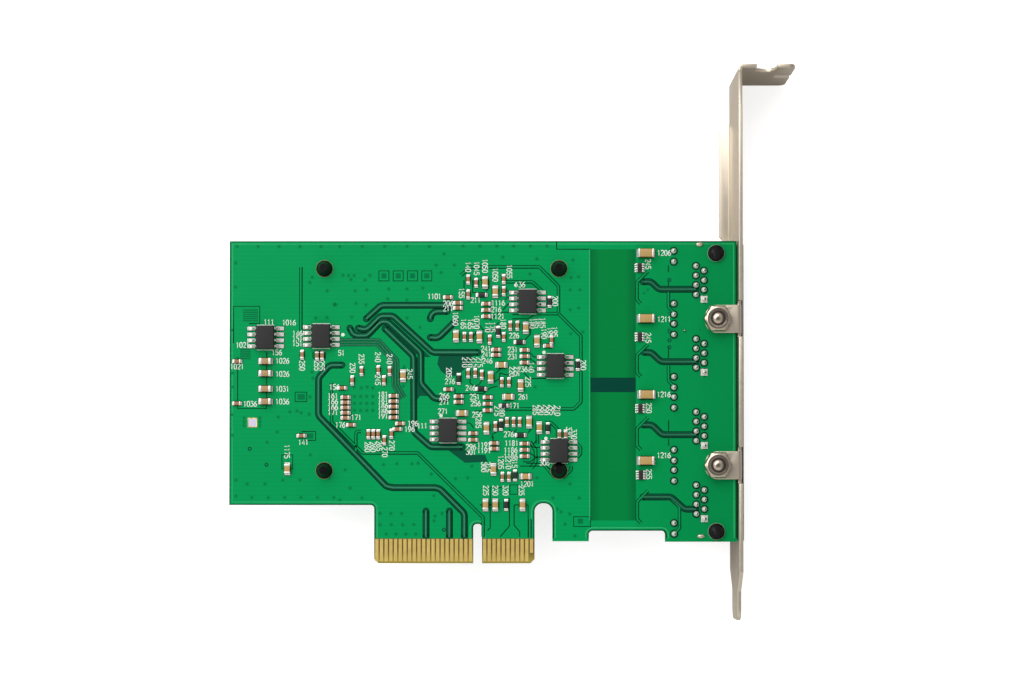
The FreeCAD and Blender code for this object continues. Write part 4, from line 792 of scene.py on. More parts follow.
LINES = paths_read("""
233.4,343 233.4,306.3 259.7,306.3 259.7,323.5 249,323.5
237.7,357 237.7,408.4 266.5,408.4 266.5,352
282,454.8 292.6,454.8 292.6,468.8 282,468.8 282,454.8
295.3,392 307,392 307,401.6 295.3,401.6 295.3,392
301.8,431.3 315.5,431.3 315.5,440.5 303,440.5
556.7,241.5 556.7,249.4 590.5,249.4
313,352 313,357.5 316.5,361 323,361 325,359 325,352
464,280 464,296 468,300.5
472.5,280 472.5,292.5 478,292.5
480,280 488,280
489,280 489,288 486,291.5
470,342 474,336 477,330
477,322 483,330 492,331 499,322
500,297 507,291 512,291
502,303 508,297 514,297
503,310 509,303.5 514,303.5
490,320 499,312 512,312
512,314.5 530,314.5
512,319 528,319 535,314
526,320 530.5,326.2 530.5,334 525,340 520,342
470,379 470,383 474,386 479,384.5 482,380.5 482,370
484,371 484,377
492,383 499,379 500,373
455,389 455,393.5 483,393.5 490,388 497,386
500,373 506,375 512,375
524,373 530,378.5 552,378.5 558,374
527,350 534,357 538,357
528,357 536,363 538,363
524,364 534,369 538,369
465,423 470,423 474,428
475,411 481,411 487,408
492,438 492,434.5 499,430.5
493,441 493,436
509,429 511,431.5 515,431.5 517,429
528,433 531,429 531,425
536,433 536,444
538.5,433 538.5,444
530,445 534,447.5 542,447.5
530,453 536,457 542,457
536.5,440 533,445
531,441 537,449 537,463 533,469
528,441 534,451 534,461 530,467
490,497 490,487.5 502,487.5
490,497 490,528 487.5,531
509.2,498 509.2,526 500,537
514,505 514,525 519.8,531.5 519.8,537
514,505 528.3,505 528.3,537
510,485 518,485 518,494.3 510,494.3 510,485
480,505 485,505
488,505 494,505
497,512 497,505
524,478 530,478
520,466 545,466 552,470
523,462 530,462 538,456
526,463.5 540,463.5
496,373 503,367 509,367
668.5,265.5 668.5,272
668.5,280 668.5,287
668.5,347 668.5,358
668.5,420 668.5,431
668.5,439 668.5,446
573.5,516.5 590.3,516.5 590.3,526.5 573.5,526.5 573.5,516.5
""")
CONTROL_BUS = ((-40.6, 0.8), (-28.7, 0.8), (-25.0, -3.2), (-24.9, -8.4), (-23.4, -11.2))
BUS_PITCH = 0.6
DARK_AREAS = paths_read("""
387.8,324.5 396,324 431,357 425,357 420,351 413,357 386,331
414,357 421,358 421,388 428,396 420,396 414,404
439,356 447,351 468,351 473,354 473,361 466,368 458,375 449,377 441,371 437.5,364
445,448 462,448 472,455 485,455 488,462 465,463
443,301 447,301 456,303 458,309 447,310 443,309
""")
STRIP_X = (16.7, 26.4)
STRIP_Y = (-37.3, 20.7)
DEEP_BAND_Y = (-9.9, -6.8)
HATCHES = paths_read("""
243,320.7 258,310
240,358.5 251,349
""")
HATCH_ROWS = 6
PATCHES = paths_read("""
297.5,399.5 304.8,394
307,438.5 313.5,433.5
578,523.5 583,518.7
""")
WINDOW_ROW = (-27.45, 15.0)
WINDOW_PITCH = 3.06
WINDOW_SIZE = 2.14
WINDOW_COUNT = 4

VIA_ROWS = (
    ((-58.9, 21.3), (4.5, 0.0), 5),
    ((-36.9, 21.3), (4.8, 0.0), 5),
    ((-10.5, 21.4), (3.6, 0.0), 6),
    ((-59.2, 17.8), (0.0, -5.2), 2),
    ((-55.6, -32.4), (3.5, 0.0), 6),
    ((-59.0, -28.7), (0.0, -3.4), 2),
    ((-36.2, 15.1), (1.2, 0.0), 3),
    ((-28.2, -35.8), (2.3, 0.0), 3),
    ((-28.2, -38.2), (2.4, 0.0), 4),
    ((-26.9, -40.2), (2.1, 0.0), 4),
    ((-57.3, -15.4), (0.0, -0.85), 3),
    ((-53.9, -15.4), (0.0, -0.85), 3),
    ((33.4, 7.0), (0.0, -1.7), 3),
)
VIA_GRID = ((-33.7, -10.8), (1.3, -1.5), (4, 3))
VIAS = places_read("""
312,277.5 310,282.5 327,291 316,318 327,317.5 334,304.5 370,275.5 351,279.5 365,280 355,291 367,290
389,289 407,289 423,288 388,299 407,300 336,305 356,303.5 366,305 352,317 407,318 420,327 441,297
441,272.5 436,265 444,254 454,265 503,257 537,259 530,274 573,260 571,277.5 578.5,277 570,290 580,290
570,310 578.5,308 583,332 570.5,333.5 644,293 648,290 706,309 700,330 684,331 731,250 731,262 232.5,373
232.5,387 232,414.5 232.5,435 278,417 277,432 267,442 310,397 301,413 297,411 309,414 290,412 313,378
312,372 310.5,455 354,387 361,388 367,387 373,388 404,367 403,386 395,424 383.5,464.5 397,464 412,464
418,463.5 431,474 434,495.5 340,500 435,516 434,521 442,513.5 455.5,478.5 467.5,478 472,466 537,478
548,470 579,498 553,498 557,509 570,514 561,512 565,524 575,536 570,484 553,450 535,387 232,330 247,484
265,484 345,470 350,488 362,498 329,478 300,480 283,480 668.7,499
""")
TEST_PAD = (-55.5, -16.4)
TEST_PAD_SIZE = 1.9
RINGS = places_read("249.8,448.7 266.5,464.8 444,530 669.5,280 669.5,331.5 669.5,340.3 669.5,347.5")

# Printed numbers, across the board and down it

LABELS = labels_read("""
269,322,3 289,322.5,4 237,366.5,4 243,345,4 282.5,361,4 282.5,374,4 282.5,389,4 282.5,401.5,4 250,404,4
303.5,442,3 341.5,353,2 297.5,333.5,3 297.5,338.5,3 297.5,343.5,3 277,352.5,3 334.5,387,3 333,396,3
333,401.5,3 333,407,3 333,412.5,3 356.5,417.5,3 340.5,425,3 383,394.5,3 383,400,3 383,405.5,3 383,411,3
383,416,3 413,423.5,3 409.5,429,3 422.5,426,2 434.5,296.5,4 448,303.5,3 448,308.5,3 475.5,300.3,3
498,303,4 496.5,309.5,3 497.5,316.5,4 520,284.5,2 514,335.5,3 512.5,349.5,3 512.5,356.5,3 522.5,369,3
486,348.5,3 486.5,354.5,3 487.5,361,3 470.5,388,3 475,397,3 475.5,403.5,3 477,414.5,3 523.5,397,3
514.5,405.5,2 444.5,396,3 444.5,402,3 443,411.5,3 450,381.5,3 509,434.5,3 511.5,443,4 511,450,4
511,456.5,4 484,445,4 484,450.5,4 471,447,3 471,452,3 527,484,4 544.5,463,3 664,253,4 664,319.2,4
664,394.5,4 664,455.5,4
""")
UPRIGHT_LABELS = labels_read("""
468,267,3 476.5,268.5,4 485.3,265.8,4 495.5,275,4 509.5,271.5,4 461.7,293,3 455.5,319,4 463.5,324,3
470.5,324,3 476.8,322,4 488,327,3 492.8,327,3 503.5,324,3 532.5,323.5,3 537.3,323,3 542.8,323,3
544,333.5,3 550,332.5,3 554.5,332,3 555,301,3 583.5,365,3 449,372.5,3 465,362,3 470,362,3 475,362,3
480,362,3 512,371.5,3 516.5,371,3 528,382,3 531.5,367.5,2 352.5,368,3 361.5,359,3 378,357,3 389.5,359,3
378,380,3 409.5,374,3 302,365.5,3 317,365.5,3 322,365.5,3 367.5,447,3 373,447,3 379,446,3 384.7,452,3
392,445.7,3 287,451.5,4 497,411,3 502,411.5,3 478.5,423,3 535.5,410,3 541,410,3 546.5,410,3 552,410,3
557.5,411,2 484,467,3 488,467,2 501,462.5,4 508.5,462.5,4 514.7,463,3 486,490.5,2 495.5,490.5,2
505.5,490.5,3 521.5,490.5,2 569,432,3 574,434,3 648.3,264,2 648.5,338,2 649,408,2 649,474,2
""")
PIN_MARKS = ((-36.2, 2.4), (-15.2, -14.9), (6.8, -1.4), (7.2, -19.8), (0.8, 13.0))

# Strokes of the digits, in steps of a quarter of their height
DIGITS = {
    "0": ((0, 1), (0, 3), (0.5, 4), (1.5, 4), (2, 3), (2, 1), (1.5, 0), (0.5, 0), (0, 1)),
    "1": ((0.3, 3.2), (1, 4), (1, 0)),
    "2": ((0, 3.3), (0.6, 4), (1.5, 4), (2, 3.3), (2, 2.6), (0, 0), (2, 0)),
    "3": ((0, 4), (2, 4), (0.9, 2.5), (1.6, 2.4), (2, 1.6), (2, 0.8), (1.5, 0), (0.5, 0), (0, 0.7)),
    "4": ((1.5, 0), (1.5, 4), (0, 1.2), (2, 1.2)),
    "5": ((2, 4), (0.2, 4), (0.1, 2.4), (1.4, 2.4), (2, 1.7), (2, 0.7), (1.4, 0), (0.5, 0), (0, 0.6)),
    "6": (
        (1.7, 4), (0.5, 3), (0, 1.6), (0, 0.8), (0.6, 0), (1.4, 0), (2, 0.8), (2, 1.5), (1.4, 2.3),
        (0.3, 2),
    ),
    "7": ((0, 4), (2, 4), (0.8, 0)),
    "8": (
        (1, 2.1), (0.2, 2.8), (0.5, 4), (1.5, 4), (1.8, 2.8), (1, 2.1), (2, 1.2), (1.6, 0), (0.4, 0),
        (0, 1.2), (1, 2.1),
    ),
    "9": (
        (0.3, 0), (1.5, 1), (2, 2.4), (2, 3.2), (1.4, 4), (0.6, 4), (0, 3.2), (0, 2.5), (0.6, 1.7),
        (1.7, 2),
    ),
}


def numeral_paths(number, x, y, height, upright=False):
    """Strokes of a number about its middle; an upright one reads from top to bottom."""
    text = str(number)
    step = height / 4.0
    advance = 2.75 * step
    width = advance * (len(text) - 1) + 2.0 * step
    paths = []
    for place, digit in enumerate(text):
        path = []
        for across, up in DIGITS[digit]:
            along = place * advance + across * step - width / 2
            over = up * step - height / 2
            point = (x + over, y - along) if upright else (x + along, y + over)
            path.append(point)
        if path[0] == path[-1]:
            path[-1] = (path[-1][0] + 0.001, path[-1][1])
        paths.append(path)
    return paths


def all_numbers(height):
    """Running numbers at every place for one."""
    paths = []
    for upright, labels in ((False, LABELS), (True, UPRIGHT_LABELS)):
        for order, (x, y, digits) in enumerate(labels):
            number = 10 ** (digits - 1) + 3 * order + (order * 7) % 5 + (40 if upright else 11)
            paths += numeral_paths(number, x, y, height, upright)
    return paths


def frame_path(low, high):
    """A closed rectangle."""
    return ((low[0], low[1]), (high[0], low[1]), (high[0], high[1]), (low[0], high[1]), (low[0], low[1]))


def square_path(middle, half):
    """A closed square about a place."""
    x, y = middle
    return frame_path((x - half, y - half), (x + half, y + half))


def window_boxes(size):
    """The four small windows in the upper copper, as low and high corners."""
    half = size / 2
    x, y = WINDOW_ROW
    middles = [(x + WINDOW_PITCH * n, y) for n in range(WINDOW_COUNT)]
    return [((a - half, b - half), (a + half, b + half)) for a, b in middles]


def shifted(path, across, up):
    return tuple((x + across, y + up) for x, y in path)


CLOSE = 0.05


def corner_step(back, on, gap):
    """The step that moves a corner to the left of the two ways that meet in it, by a gap."""
    first = Vector((-back.y, back.x))
    second = Vector((-on.y, on.x))
    return (first + second) * (gap / max(1.0 + first.dot(second), 0.3))


def beside(path, gap):
    """A path moved sideways by a gap, its corners kept square to it."""
    moved = []
    for number, (x, y) in enumerate(path):
        before = Vector(path[max(number - 1, 0)])
        after = Vector(path[min(number + 1, len(path) - 1)])
        here = Vector((x, y))
        ways = [leg.normalized() for leg in (here - before, after - here) if leg.length > 0]
        step = corner_step(ways[0], ways[-1], gap)
        moved.append((here.x + step.x, here.y + step.y))
    return tuple(moved)


def face_loops(node, level):
    """Closed loops round a flat face at a height, in millimetres, the widest first."""
    shape = merged(node)
    ahead = {}
    for face in shape.faces:
        if face.normal.z < 0.9 or abs(face.calc_center_median().z / MM - level) > 0.01:
            continue
        for loop in face.loops:
            other = [near for near in loop.edge.link_faces if near is not face]
            if not other or other[0].normal.z < 0.9:
                ahead[loop.vert.index] = loop.link_loop_next.vert.index
    shape.verts.ensure_lookup_table()
    loops = []
    while ahead:
        start, here = ahead.popitem()
        chain = [start]
        while here != start:
            chain.append(here)
            here = ahead.pop(here, start)
        loops.append([(shape.verts[n].co.x / MM, shape.verts[n].co.y / MM) for n in chain])
    shape.free()
    return sorted(loops, key=lambda loop: min(x for x, y in loop) - max(x for x, y in loop))


def circle_path(centre, radius, count=32):
    """A closed round path about a place."""
    turns = [2 * math.pi * n / count for n in range(count)]
    path = [(centre[0] + radius * math.cos(turn), centre[1] + radius * math.sin(turn)) for turn in turns]
    return path + path[:1]


def runs_above(path, low):
    """The runs of a closed path above a level, cut where they cross it."""
    runs = []
    run = []
    for (x, y), (on_x, on_y) in zip(path, path[1:]):
        if y > low:
            run.append((x, y))
        if (y > low) != (on_y > low):
            part = (low - y) / (on_y - y)
            run.append((x + (on_x - x) * part, low))
            if y > low:
                runs.append(run)
                run = []
    if runs and run:
        runs[0] = run + runs[0]
    return runs or [run]


def inset(loop, gap):
    """A closed loop moved to its left by a gap, without points that lie close together."""
    kept = []
    for point in loop:
        last = kept[-1] if kept else loop[-1]
        if (Vector(point) - Vector(last)).length > CLOSE:
            kept.append(point)
    moved = []
    for number, point in enumerate(kept):
        here = Vector(point)
        back = (here - Vector(kept[number - 1])).normalized()
        on = (Vector(kept[(number + 1) % len(kept)]) - here).normalized()
        step = corner_step(back, on, gap)
        moved.append((here.x + step.x, here.y + step.y))
    return moved + [moved[0]]


# The card's pieces

class CardOperator(bpy.types.Operator):
    """Shared parts of the operators"""

    bl_options = {"REGISTER"}

    def execute(self, context):
        scene = context.scene
        self.build(scene.card_colours, scene.card_sizes)
        return {"FINISHED"}


class CARD_OT_board(CardOperator):
    """Gives the board its mask and the lines along its edges and holes"""

    bl_idname = "card.board"
    bl_label = "Board"

    def build(self, look, size):
        assign("circuit_board", mask_finish("solder_mask", look))
        outline, *holes = face_loops("circuit_board", SOLDER_Z)
        rim = film("edge_gap", look.rim)
        # The pale line along the copper's edge, inside the board's edge, is a painted highlight.
        pale = film("edge_pale", look.pale, 0.4)
        strips("board_edge_line", runs_above(inset(outline, 0.14), TAB_LINE_Y), 0.24 * MM, rim)
        strips("board_pale_line", runs_above(inset(outline, 0.62), TAB_LINE_Y), 0.18 * MM, pale)
        gold = finish("hole_gold", look.pin_rim, 0.35, 0.5)
        middles = [sum((Vector(point) for point in hole), Vector((0.0, 0.0))) / len(hole) for hole in holes]
        pegs = [middle for middle in middles if PEG_X[0] < middle.x < PEG_X[1]]
        # Pale rings round the jack's pegs are painted highlights of their rims.
        light = film("peg_rim", look.peg_rim, 0.4)
        strips("peg_rims", [circle_path(peg, 1.78) for peg in pegs], 0.12 * MM, light)
        pins = [centre for centre, extent in solids("push_pins")]
        strips("pin_rings", [circle_path(pin, 1.8) for pin in pins], 0.1 * MM, gold, slot="gold_plating")
        shade = film("pin_shade", look.gap)
        strips("pin_shades", [circle_path(pin, 1.6) for pin in pins], 0.34 * MM, shade)
        black = finish("pin_plastic", look.plastic, 0.3, grain=0.2, scale=900.0, relief=0.02, specular=0.1)
        places = [((pin.x, pin.y, SOLDER_Z), (1.66, 1.66, 0.95), 0) for pin in pins]
        spread("pin_barbs", turned_shape(DOME_PROFILE, 28), places, black, "black_plastic")


class CARD_OT_copper(CardOperator):
    """Lays the tracks, gaps, vias and bare laminate"""

    bl_idname = "card.copper"
    bl_label = "Tracks and gaps"

    def build(self, look, size):
        clearance = film("clearance", look.clearance, 0.45)
        gap = film("gap_line", look.rim)
        faint = film("faint_gap", look.faint, 0.45)
        self.heavy_tracks(look, size, gap, clearance)
        self.thin_tracks(look, size, gap)
        self.areas(size, gap, clearance, faint)
        self.bare_strip(look)
        self.vias(look, size)

    @staticmethod
    def heavy_tracks(look, size, gap, clearance):
        """Wide tracks with rounded turns, each in the gap beside it, with round ends."""
        core = film("heavy_track", look.core, 0.35)
        duller = film("port_track", look.port_core, 0.35)
        heavy = list(ROUTES.values()) + PORT_ROUTES
        strips("heavy_gap_edges", heavy, size.track_gap, gap, size.bend, 5)
        strips("heavy_gaps", heavy, size.track_gap - 0.36 * MM, clearance, size.bend, 5)
        strips("heavy_track_shades", heavy, size.track_core + 0.3 * MM, gap, size.bend, 5)
        strips("heavy_tracks", list(ROUTES.values()), size.track_core, core, size.bend, 5)
        strips("port_tracks", PORT_ROUTES, size.track_core, duller, size.bend, 5)
        ends = [end for route in heavy for end in (route[0], route[-1])]
        outer = size.track_gap / MM / 2
        discs("heavy_end_edges", ends, outer, gap)
        discs("heavy_ends", ends, outer - 0.18, clearance)

    @staticmethod
    def thin_tracks(look, size, gap):
        """Thin tracks between two gaps, and the control bus of three."""
        green = film("thin_track", look.mask, 0.4)
        core = film("bus_track", look.core, 0.35)
        bus = [beside(CONTROL_BUS, BUS_PITCH * n) for n in (-1, 0, 1)]
        sides = [shifted(SIDE_ROUTE, 0.0, PORTS_TOP - PORT_PITCH * n) for n in range(PORT_COUNT)]
        thin = THIN_ROUTES + sides
        strips("thin_gaps", thin, size.thin_gap, gap, 0.5 * MM, 2)
        strips("thin_tracks", thin, size.thin_core, green, 0.5 * MM, 2)
        strips("bus_gaps", bus, 0.5 * MM, gap, 0.5 * MM, 2)
        strips("bus_tracks", bus, 0.24 * MM, core, 0.5 * MM, 2)

    @staticmethod
    def areas(size, gap, clearance, faint):
        """Single gap lines, dark areas, windows, patches and hatching."""
        windows = [frame_path(*box) for box in window_boxes(WINDOW_SIZE)]
        strips("gap_lines", LINES + windows, size.gap_line, gap)
        plates("dark_areas", DARK_AREAS, clearance)
        shades = [frame_path(*box) for box in window_boxes(WINDOW_SIZE * 0.5) + PATCHES]
        plates("window_middles", shades, faint)
        hatch = []
        for (left, low), (right, high) in HATCHES:
            heights = [low + (high - low) * n / (HATCH_ROWS - 1) for n in range(HATCH_ROWS)]
            hatch += [((left, y), (right, y)) for y in heights]
        strips("hatched_patches", hatch, 0.26 * MM, faint)

    @staticmethod
    def bare_strip(look):
        """The strip without copper beside the ports, with the dark band across it."""
        left, right = STRIP_X
        low, high = STRIP_Y
        laminate = laminate_finish("bare_laminate", look.laminate, look.laminate_side)
        plates("bare_strip", [frame_path((left, low), (right, high))], laminate)
        band = frame_path((left, DEEP_BAND_Y[0]), (right, DEEP_BAND_Y[1]))
        plates("deep_band", [band], film("deep_band", look.band, 0.45))
        side = ((left - 0.15, low), (left - 0.15, high))
        strips("strip_sides", [side], 0.16 * MM, film("strip_side", look.pale, 0.4))

    @staticmethod
    def vias(look, size):
        """Covered vias, each with the green round it."""
        spots = list(VIAS)
        for (x, y), (step_x, step_y), count in VIA_ROWS:
            spots += [(x + step_x * n, y + step_y * n) for n in range(count)]
        (x, y), (step_x, step_y), (columns, rows) = VIA_GRID
        spots += [(x + step_x * n, y + step_y * m) for n in range(columns) for m in range(rows)]
        radius = size.via / MM
        discs("via_halos", spots, radius * 1.35, film("via_halo", look.halo, 0.4))
        discs("vias", spots, radius * 0.8, film("via_middle", look.via_middle, 0.4))


class CARD_OT_markings(CardOperator):
    """Prints plain running numbers, chip outlines and first-pin dots"""

    bl_idname = "card.markings"
    bl_label = "Markings"

    def build(self, look, size):
        white = finish("print", look.marking, 0.6, grain=0.03)
        top = size.print_height / MM + 0.02
        strips("printed_numbers", all_numbers(size.numeral / MM), size.stroke, white, top=top)
        lines = []
        for centre, extent in solids("memory_chip_bodies"):
            half_x = extent.x / 2 - 0.1
            for way in (-1, 1):
                y = centre.y + way * (extent.y / 2 + 0.2)
                lines.append(((centre.x - half_x, y), (centre.x + half_x, y)))
        strips("chip_outlines", lines, 0.15 * MM, white, top=top)
        discs("first_pin_dots", PIN_MARKS, 0.38, white, 14, top)
        lilac = finish("test_pad", look.test_pad, 0.35, grain=0.04)
        gold = finish("test_pad_rim", look.gold, 0.35, 1.0)
        rim = square_path(TEST_PAD, TEST_PAD_SIZE / 2)
        strips("test_pad_rim", [rim], 0.2 * MM, gold, slot="gold_plating")
        plates("test_pad", [square_path(TEST_PAD, TEST_PAD_SIZE / 2 - 0.1)], lilac)
        shade = film("round_mark", look.clearance, 0.4)
        strips("round_marks", [circle_path(ring, 0.32, 16) for ring in RINGS], 0.24 * MM, shade)


class CARD_OT_chip_parts(CardOperator):
    """Makes the chip capacitors, resistors and networks with plated ends and solder"""

    bl_idname = "card.chip_parts"
    bl_label = "Chip parts"

    def build(self, look, size):
        tin = finish("plated_end", look.tin, 0.3, 0.6, grain=0.14, scale=1500.0)
        solder = finish("chip_solder", look.tin, 0.22, 0.6, grain=0.05)
        brown = finish("brown_ceramic", look.ceramic, 0.42, grain=0.12, scale=900.0)
        tan = finish("tan_ceramic", look.ceramic_pale, 0.4, grain=0.08, scale=700.0)
        worn = finish("grey_ceramic", look.ceramic_worn, 0.4, grain=0.1, scale=800.0)
        glaze = finish("dark_glaze", look.glaze, 0.3, grain=0.1, scale=900.0)
        block = block_shape()
        ends = []
        heels = []
        shadows = []
        ceramic = "ceramic_chip"
        glazed = "resistor_glaze"
        # Piece, its first node, finish, slot, the body's share of the length, end, foot, climb of the solder
        kinds = (
            ("tiny_capacitors_dressed", "tiny_capacitors", brown, ceramic, 0.93, 0.32, 0.28, 0.42),
            ("chip_resistors_dressed", "chip_resistors", glaze, glazed, 0.93, 0.28, 0.28, 0.36),
            ("ferrite_bead_dressed", "ferrite_bead", glaze, glazed, 0.93, 0.30, 0.34, 0.4),
            ("small_capacitor_ceramic", "small_capacitor_bodies", tan, ceramic, 0.96, 0.42, 0.34, 0.6),
            ("power_capacitor_ceramic", "power_capacitor_bodies", worn, ceramic, 0.96, 0.54, 0.34, 0.6),
            ("surge_capacitor_ceramic", "surge_capacitor_bodies", tan, ceramic, 0.96, 0.36, 0.3, 0.6),
        )
        for name, node, shade, slot, part, end_size, foot, climb in kinds:
            terminals = node.replace("_bodies", "_terminals")
            nodes = (node,) if terminals == node else (node, terminals)
            bodies = []
            for centre, extent in self.whole_parts(*nodes):
                bodies.append(self.body(centre, extent, part))
                self.dress(centre, extent, end_size, foot, climb, ends, heels, shadows)
            spread(name, block, bodies, shade, slot, nodes)
        bodies = []
        for centre, extent in solids("resistor_networks"):
            bodies.append(self.body(centre, extent, 0.94))
            for way in (-1, 1):
                for place in range(4):
                    y = centre.y + (place - 1.5) * extent.y / 4.0
                    x = centre.x + way * (extent.x / 2 - 0.14)
                    ends.append(((x, y, SOLDER_Z), (0.34, 0.32, extent.z * 1.04), 0))
                    foot = centre.x + way * extent.x / 2
                    heels.append(((foot, y, SOLDER_Z), (0.3, 0.34, 0.3), 90 * (1 - way)))
        spread("resistor_network_bodies", block, bodies, glaze, "resistor_glaze", ("resistor_networks",))
        spread("chip_part_ends", block, ends, tin, "solder")
        spread("chip_part_solder", heel_shape(), heels, solder, "solder")
        # Dark surrounds under the parts are painted shade round their feet.
        spread("chip_part_gaps", block_shape(0.2), shadows, film("chip_gap", look.rim), "solder_mask")

    @staticmethod
    def body(centre, extent, part):
        """A body between the ends, a little inside the solid's box."""
        along_x = extent.x > extent.y
        width = 1.0 if along_x else part
        depth = part if along_x else 1.0
        size = (extent.x * width * 0.98, extent.y * depth * 0.98, extent.z * 0.97)
        return ((centre.x, centre.y, centre.z - extent.z / 2), size, 0)

    @staticmethod
    def whole_parts(bodies, terminals=None):
        """Each part's box: its one solid, or its body with its two terminals."""
        if not terminals:
            return solids(bodies)
        ends = solids(terminals)
        parts = []
        for centre, extent in solids(bodies):
            near = sorted(ends, key=lambda box: (box[0] - centre).length)[:2]
            corners = [c + e / 2 * way for c, e in near + [(centre, extent)] for way in (-1, 1)]
            low = Vector([min(corner[axis] for corner in corners) for axis in range(3)])
            high = Vector([max(corner[axis] for corner in corners) for axis in range(3)])
            parts.append(((low + high) / 2, high - low))
        return parts

    @staticmethod
    def dress(centre, extent, end_size, foot, climb, ends, heels, shadows):
        """Plated ends, the solder at their feet and a dark surround of painted shade round the part."""
        along_x = extent.x > extent.y
        reach = max(extent.x, extent.y)
        across = min(extent.x, extent.y)

        def at(shift):
            if along_x:
                return (centre.x + shift, centre.y, SOLDER_Z)
            return (centre.x, centre.y + shift, SOLDER_Z)

        def sized(long, wide, high):
            return (long, wide, high) if along_x else (wide, long, high)

        for way in (-1, 1):
            turn = 90 * (1 - way) if along_x else 90 * way
            ends.append((at(way * (reach / 2 - end_size / 2)), sized(end_size, across, extent.z), 0))
            heels.append((at(way * reach / 2), (foot, across * 1.05, extent.z * climb), turn))
        shadows.append((at(0.0), sized(reach + 2 * foot + 0.3, across + 0.34, 0.01), 0))


class CARD_OT_packages(CardOperator):
    """Finishes the eight-lead chips, their leads and their solder"""

    bl_idname = "card.packages"
    bl_label = "Eight-lead chips"

    def build(self, look, size):
        grain = {"grain": 0.12, "scale": 1600.0, "relief": 0.02}
        mould = finish("chip_mould", look.mould, 0.62, specular=SHEEN, **grain)
        eased("memory_chips", "memory_chip_bodies", 0.1 * MM, mould)
        tin = finish("chip_lead", look.tin, 0.2, 1.0, grain=0.1)
        assign("memory_chip_leads", tin)
        bright = finish("lead_solder", look.tin, 0.2, 0.5, grain=0.05)
        bodies = solids("memory_chip_bodies")
        pads = []
        mounds = []
        for centre, extent in solids("memory_chip_leads"):
            body, body_extent = min(bodies, key=lambda box: (box[0] - centre).length)
            way = 1 if centre.x > body.x else -1
            inner = body.x + way * (body_extent.x / 2 + 0.25)
            outer = body.x + way * (body_extent.x / 2 + 1.97)
            pads.append((((inner + outer) / 2, centre.y, SOLDER_Z), (abs(outer - inner), 0.8, 0.09), 0))
            toe = centre.x + way * extent.x / 2
            mound = (abs(outer - toe) + 0.1, 0.62, 0.34)
            mounds.append(((toe - way * 0.1, centre.y, SOLDER_Z), mound, 90 * (1 - way)))
        spread("lead_pads", block_shape(0.06), pads, bright, "solder")
        # Dark surrounds round the lead pads are painted shade.
        gaps = [(place, (wide + 0.3, deep + 0.3, 0.012), 0) for place, (wide, deep, high), turn in pads]
        spread("lead_gaps", block_shape(0.2), gaps, film("lead_gap", look.rim), "solder_mask")
        spread("lead_solder", heel_shape(), mounds, bright, "solder")


class CARD_OT_joints(CardOperator):
    """Rounds the soldered tails and rings each with the gap in the copper"""

    bl_idname = "card.joints"
    bl_label = "Soldered tails"

    def build(self, look, size):
        solder = finish("joint_solder", look.tin, 0.22, 0.38, grain=0.05, scale=1200.0, relief=0.05)
        joints = solids("solder_joints")
        radius = size.joint / MM
        high = max(extent.z for centre, extent in joints)
        last = max(centre.x for centre, extent in joints)
        column = sorted((centre for centre, extent in joints if centre.x > last - 0.3), key=lambda c: -c.y)
        firsts = column[len(column) // PORT_COUNT - 1::len(column) // PORT_COUNT]
        round_places = []
        square_places = []
        for centre, extent in joints:
            place = (centre.x, centre.y, SOLDER_Z)
            round_places.append((place, (radius, radius, high), 0))
            if any((centre - first).length < 0.1 for first in firsts):
                square_places.append((place, (1.45, 1.45, 0.12), 0))
        middles = [(centre.x, centre.y) for centre, extent in joints]
        discs("joint_gaps", middles, size.ring / MM, film("joint_gap", look.rim), 20)
        cone = turned_shape(JOINT_PROFILE, 18)
        spread("soldered_tails", cone, round_places, solder, "solder", ("solder_joints",))
        tips = [((x + 0.1, y, SOLDER_Z + high * 0.9), (0.2, 0.2, high * 0.14), 0) for x, y in middles]
        tail = finish("cut_tail", look.tail, 0.3, 0.9, grain=0.1)
        spread("tail_tips", turned_shape(TIP_PROFILE, 14), tips, tail, "solder")
        spread("first_pin_pads", block_shape(0.05), square_places, solder, "solder")
        self.lumps(finish("leg_solder", look.leg_solder, 0.22, 0.95, grain=0.1, scale=1000.0, relief=0.1))

    @staticmethod
    def lumps(material):
        """Uneven solder on the shield's legs, at the board's two edges."""
        chance = random.Random(bpy.context.scene.card_stage.seed)
        shape = bmesh.new()
        for x, y, wide, deep in LEG_LUMPS:
            spot = Matrix.Translation((x * MM, y * MM, SOLDER_Z * MM))
            scale = Matrix.Diagonal((wide * MM / 2, deep * MM / 2, 0.5 * MM, 1.0))
            made = bmesh.ops.create_icosphere(shape, subdivisions=3, radius=1.0, matrix=spot @ scale)
            for vertex in made["verts"]:
                away = vertex.co - spot.translation
                vertex.co = spot.translation + away * (0.82 + 0.3 * chance.random())
                vertex.co.z = max(vertex.co.z, (SOLDER_Z - 0.02) * MM)
        axes = {"use_axis_x": True, "use_axis_y": True, "use_axis_z": True}
        bmesh.ops.smooth_vert(shape, verts=shape.verts, factor=0.5, **axes)
        piece("shield_leg_solder", plain_mesh(shape, "shield_leg_solder", 70.0), (), material)


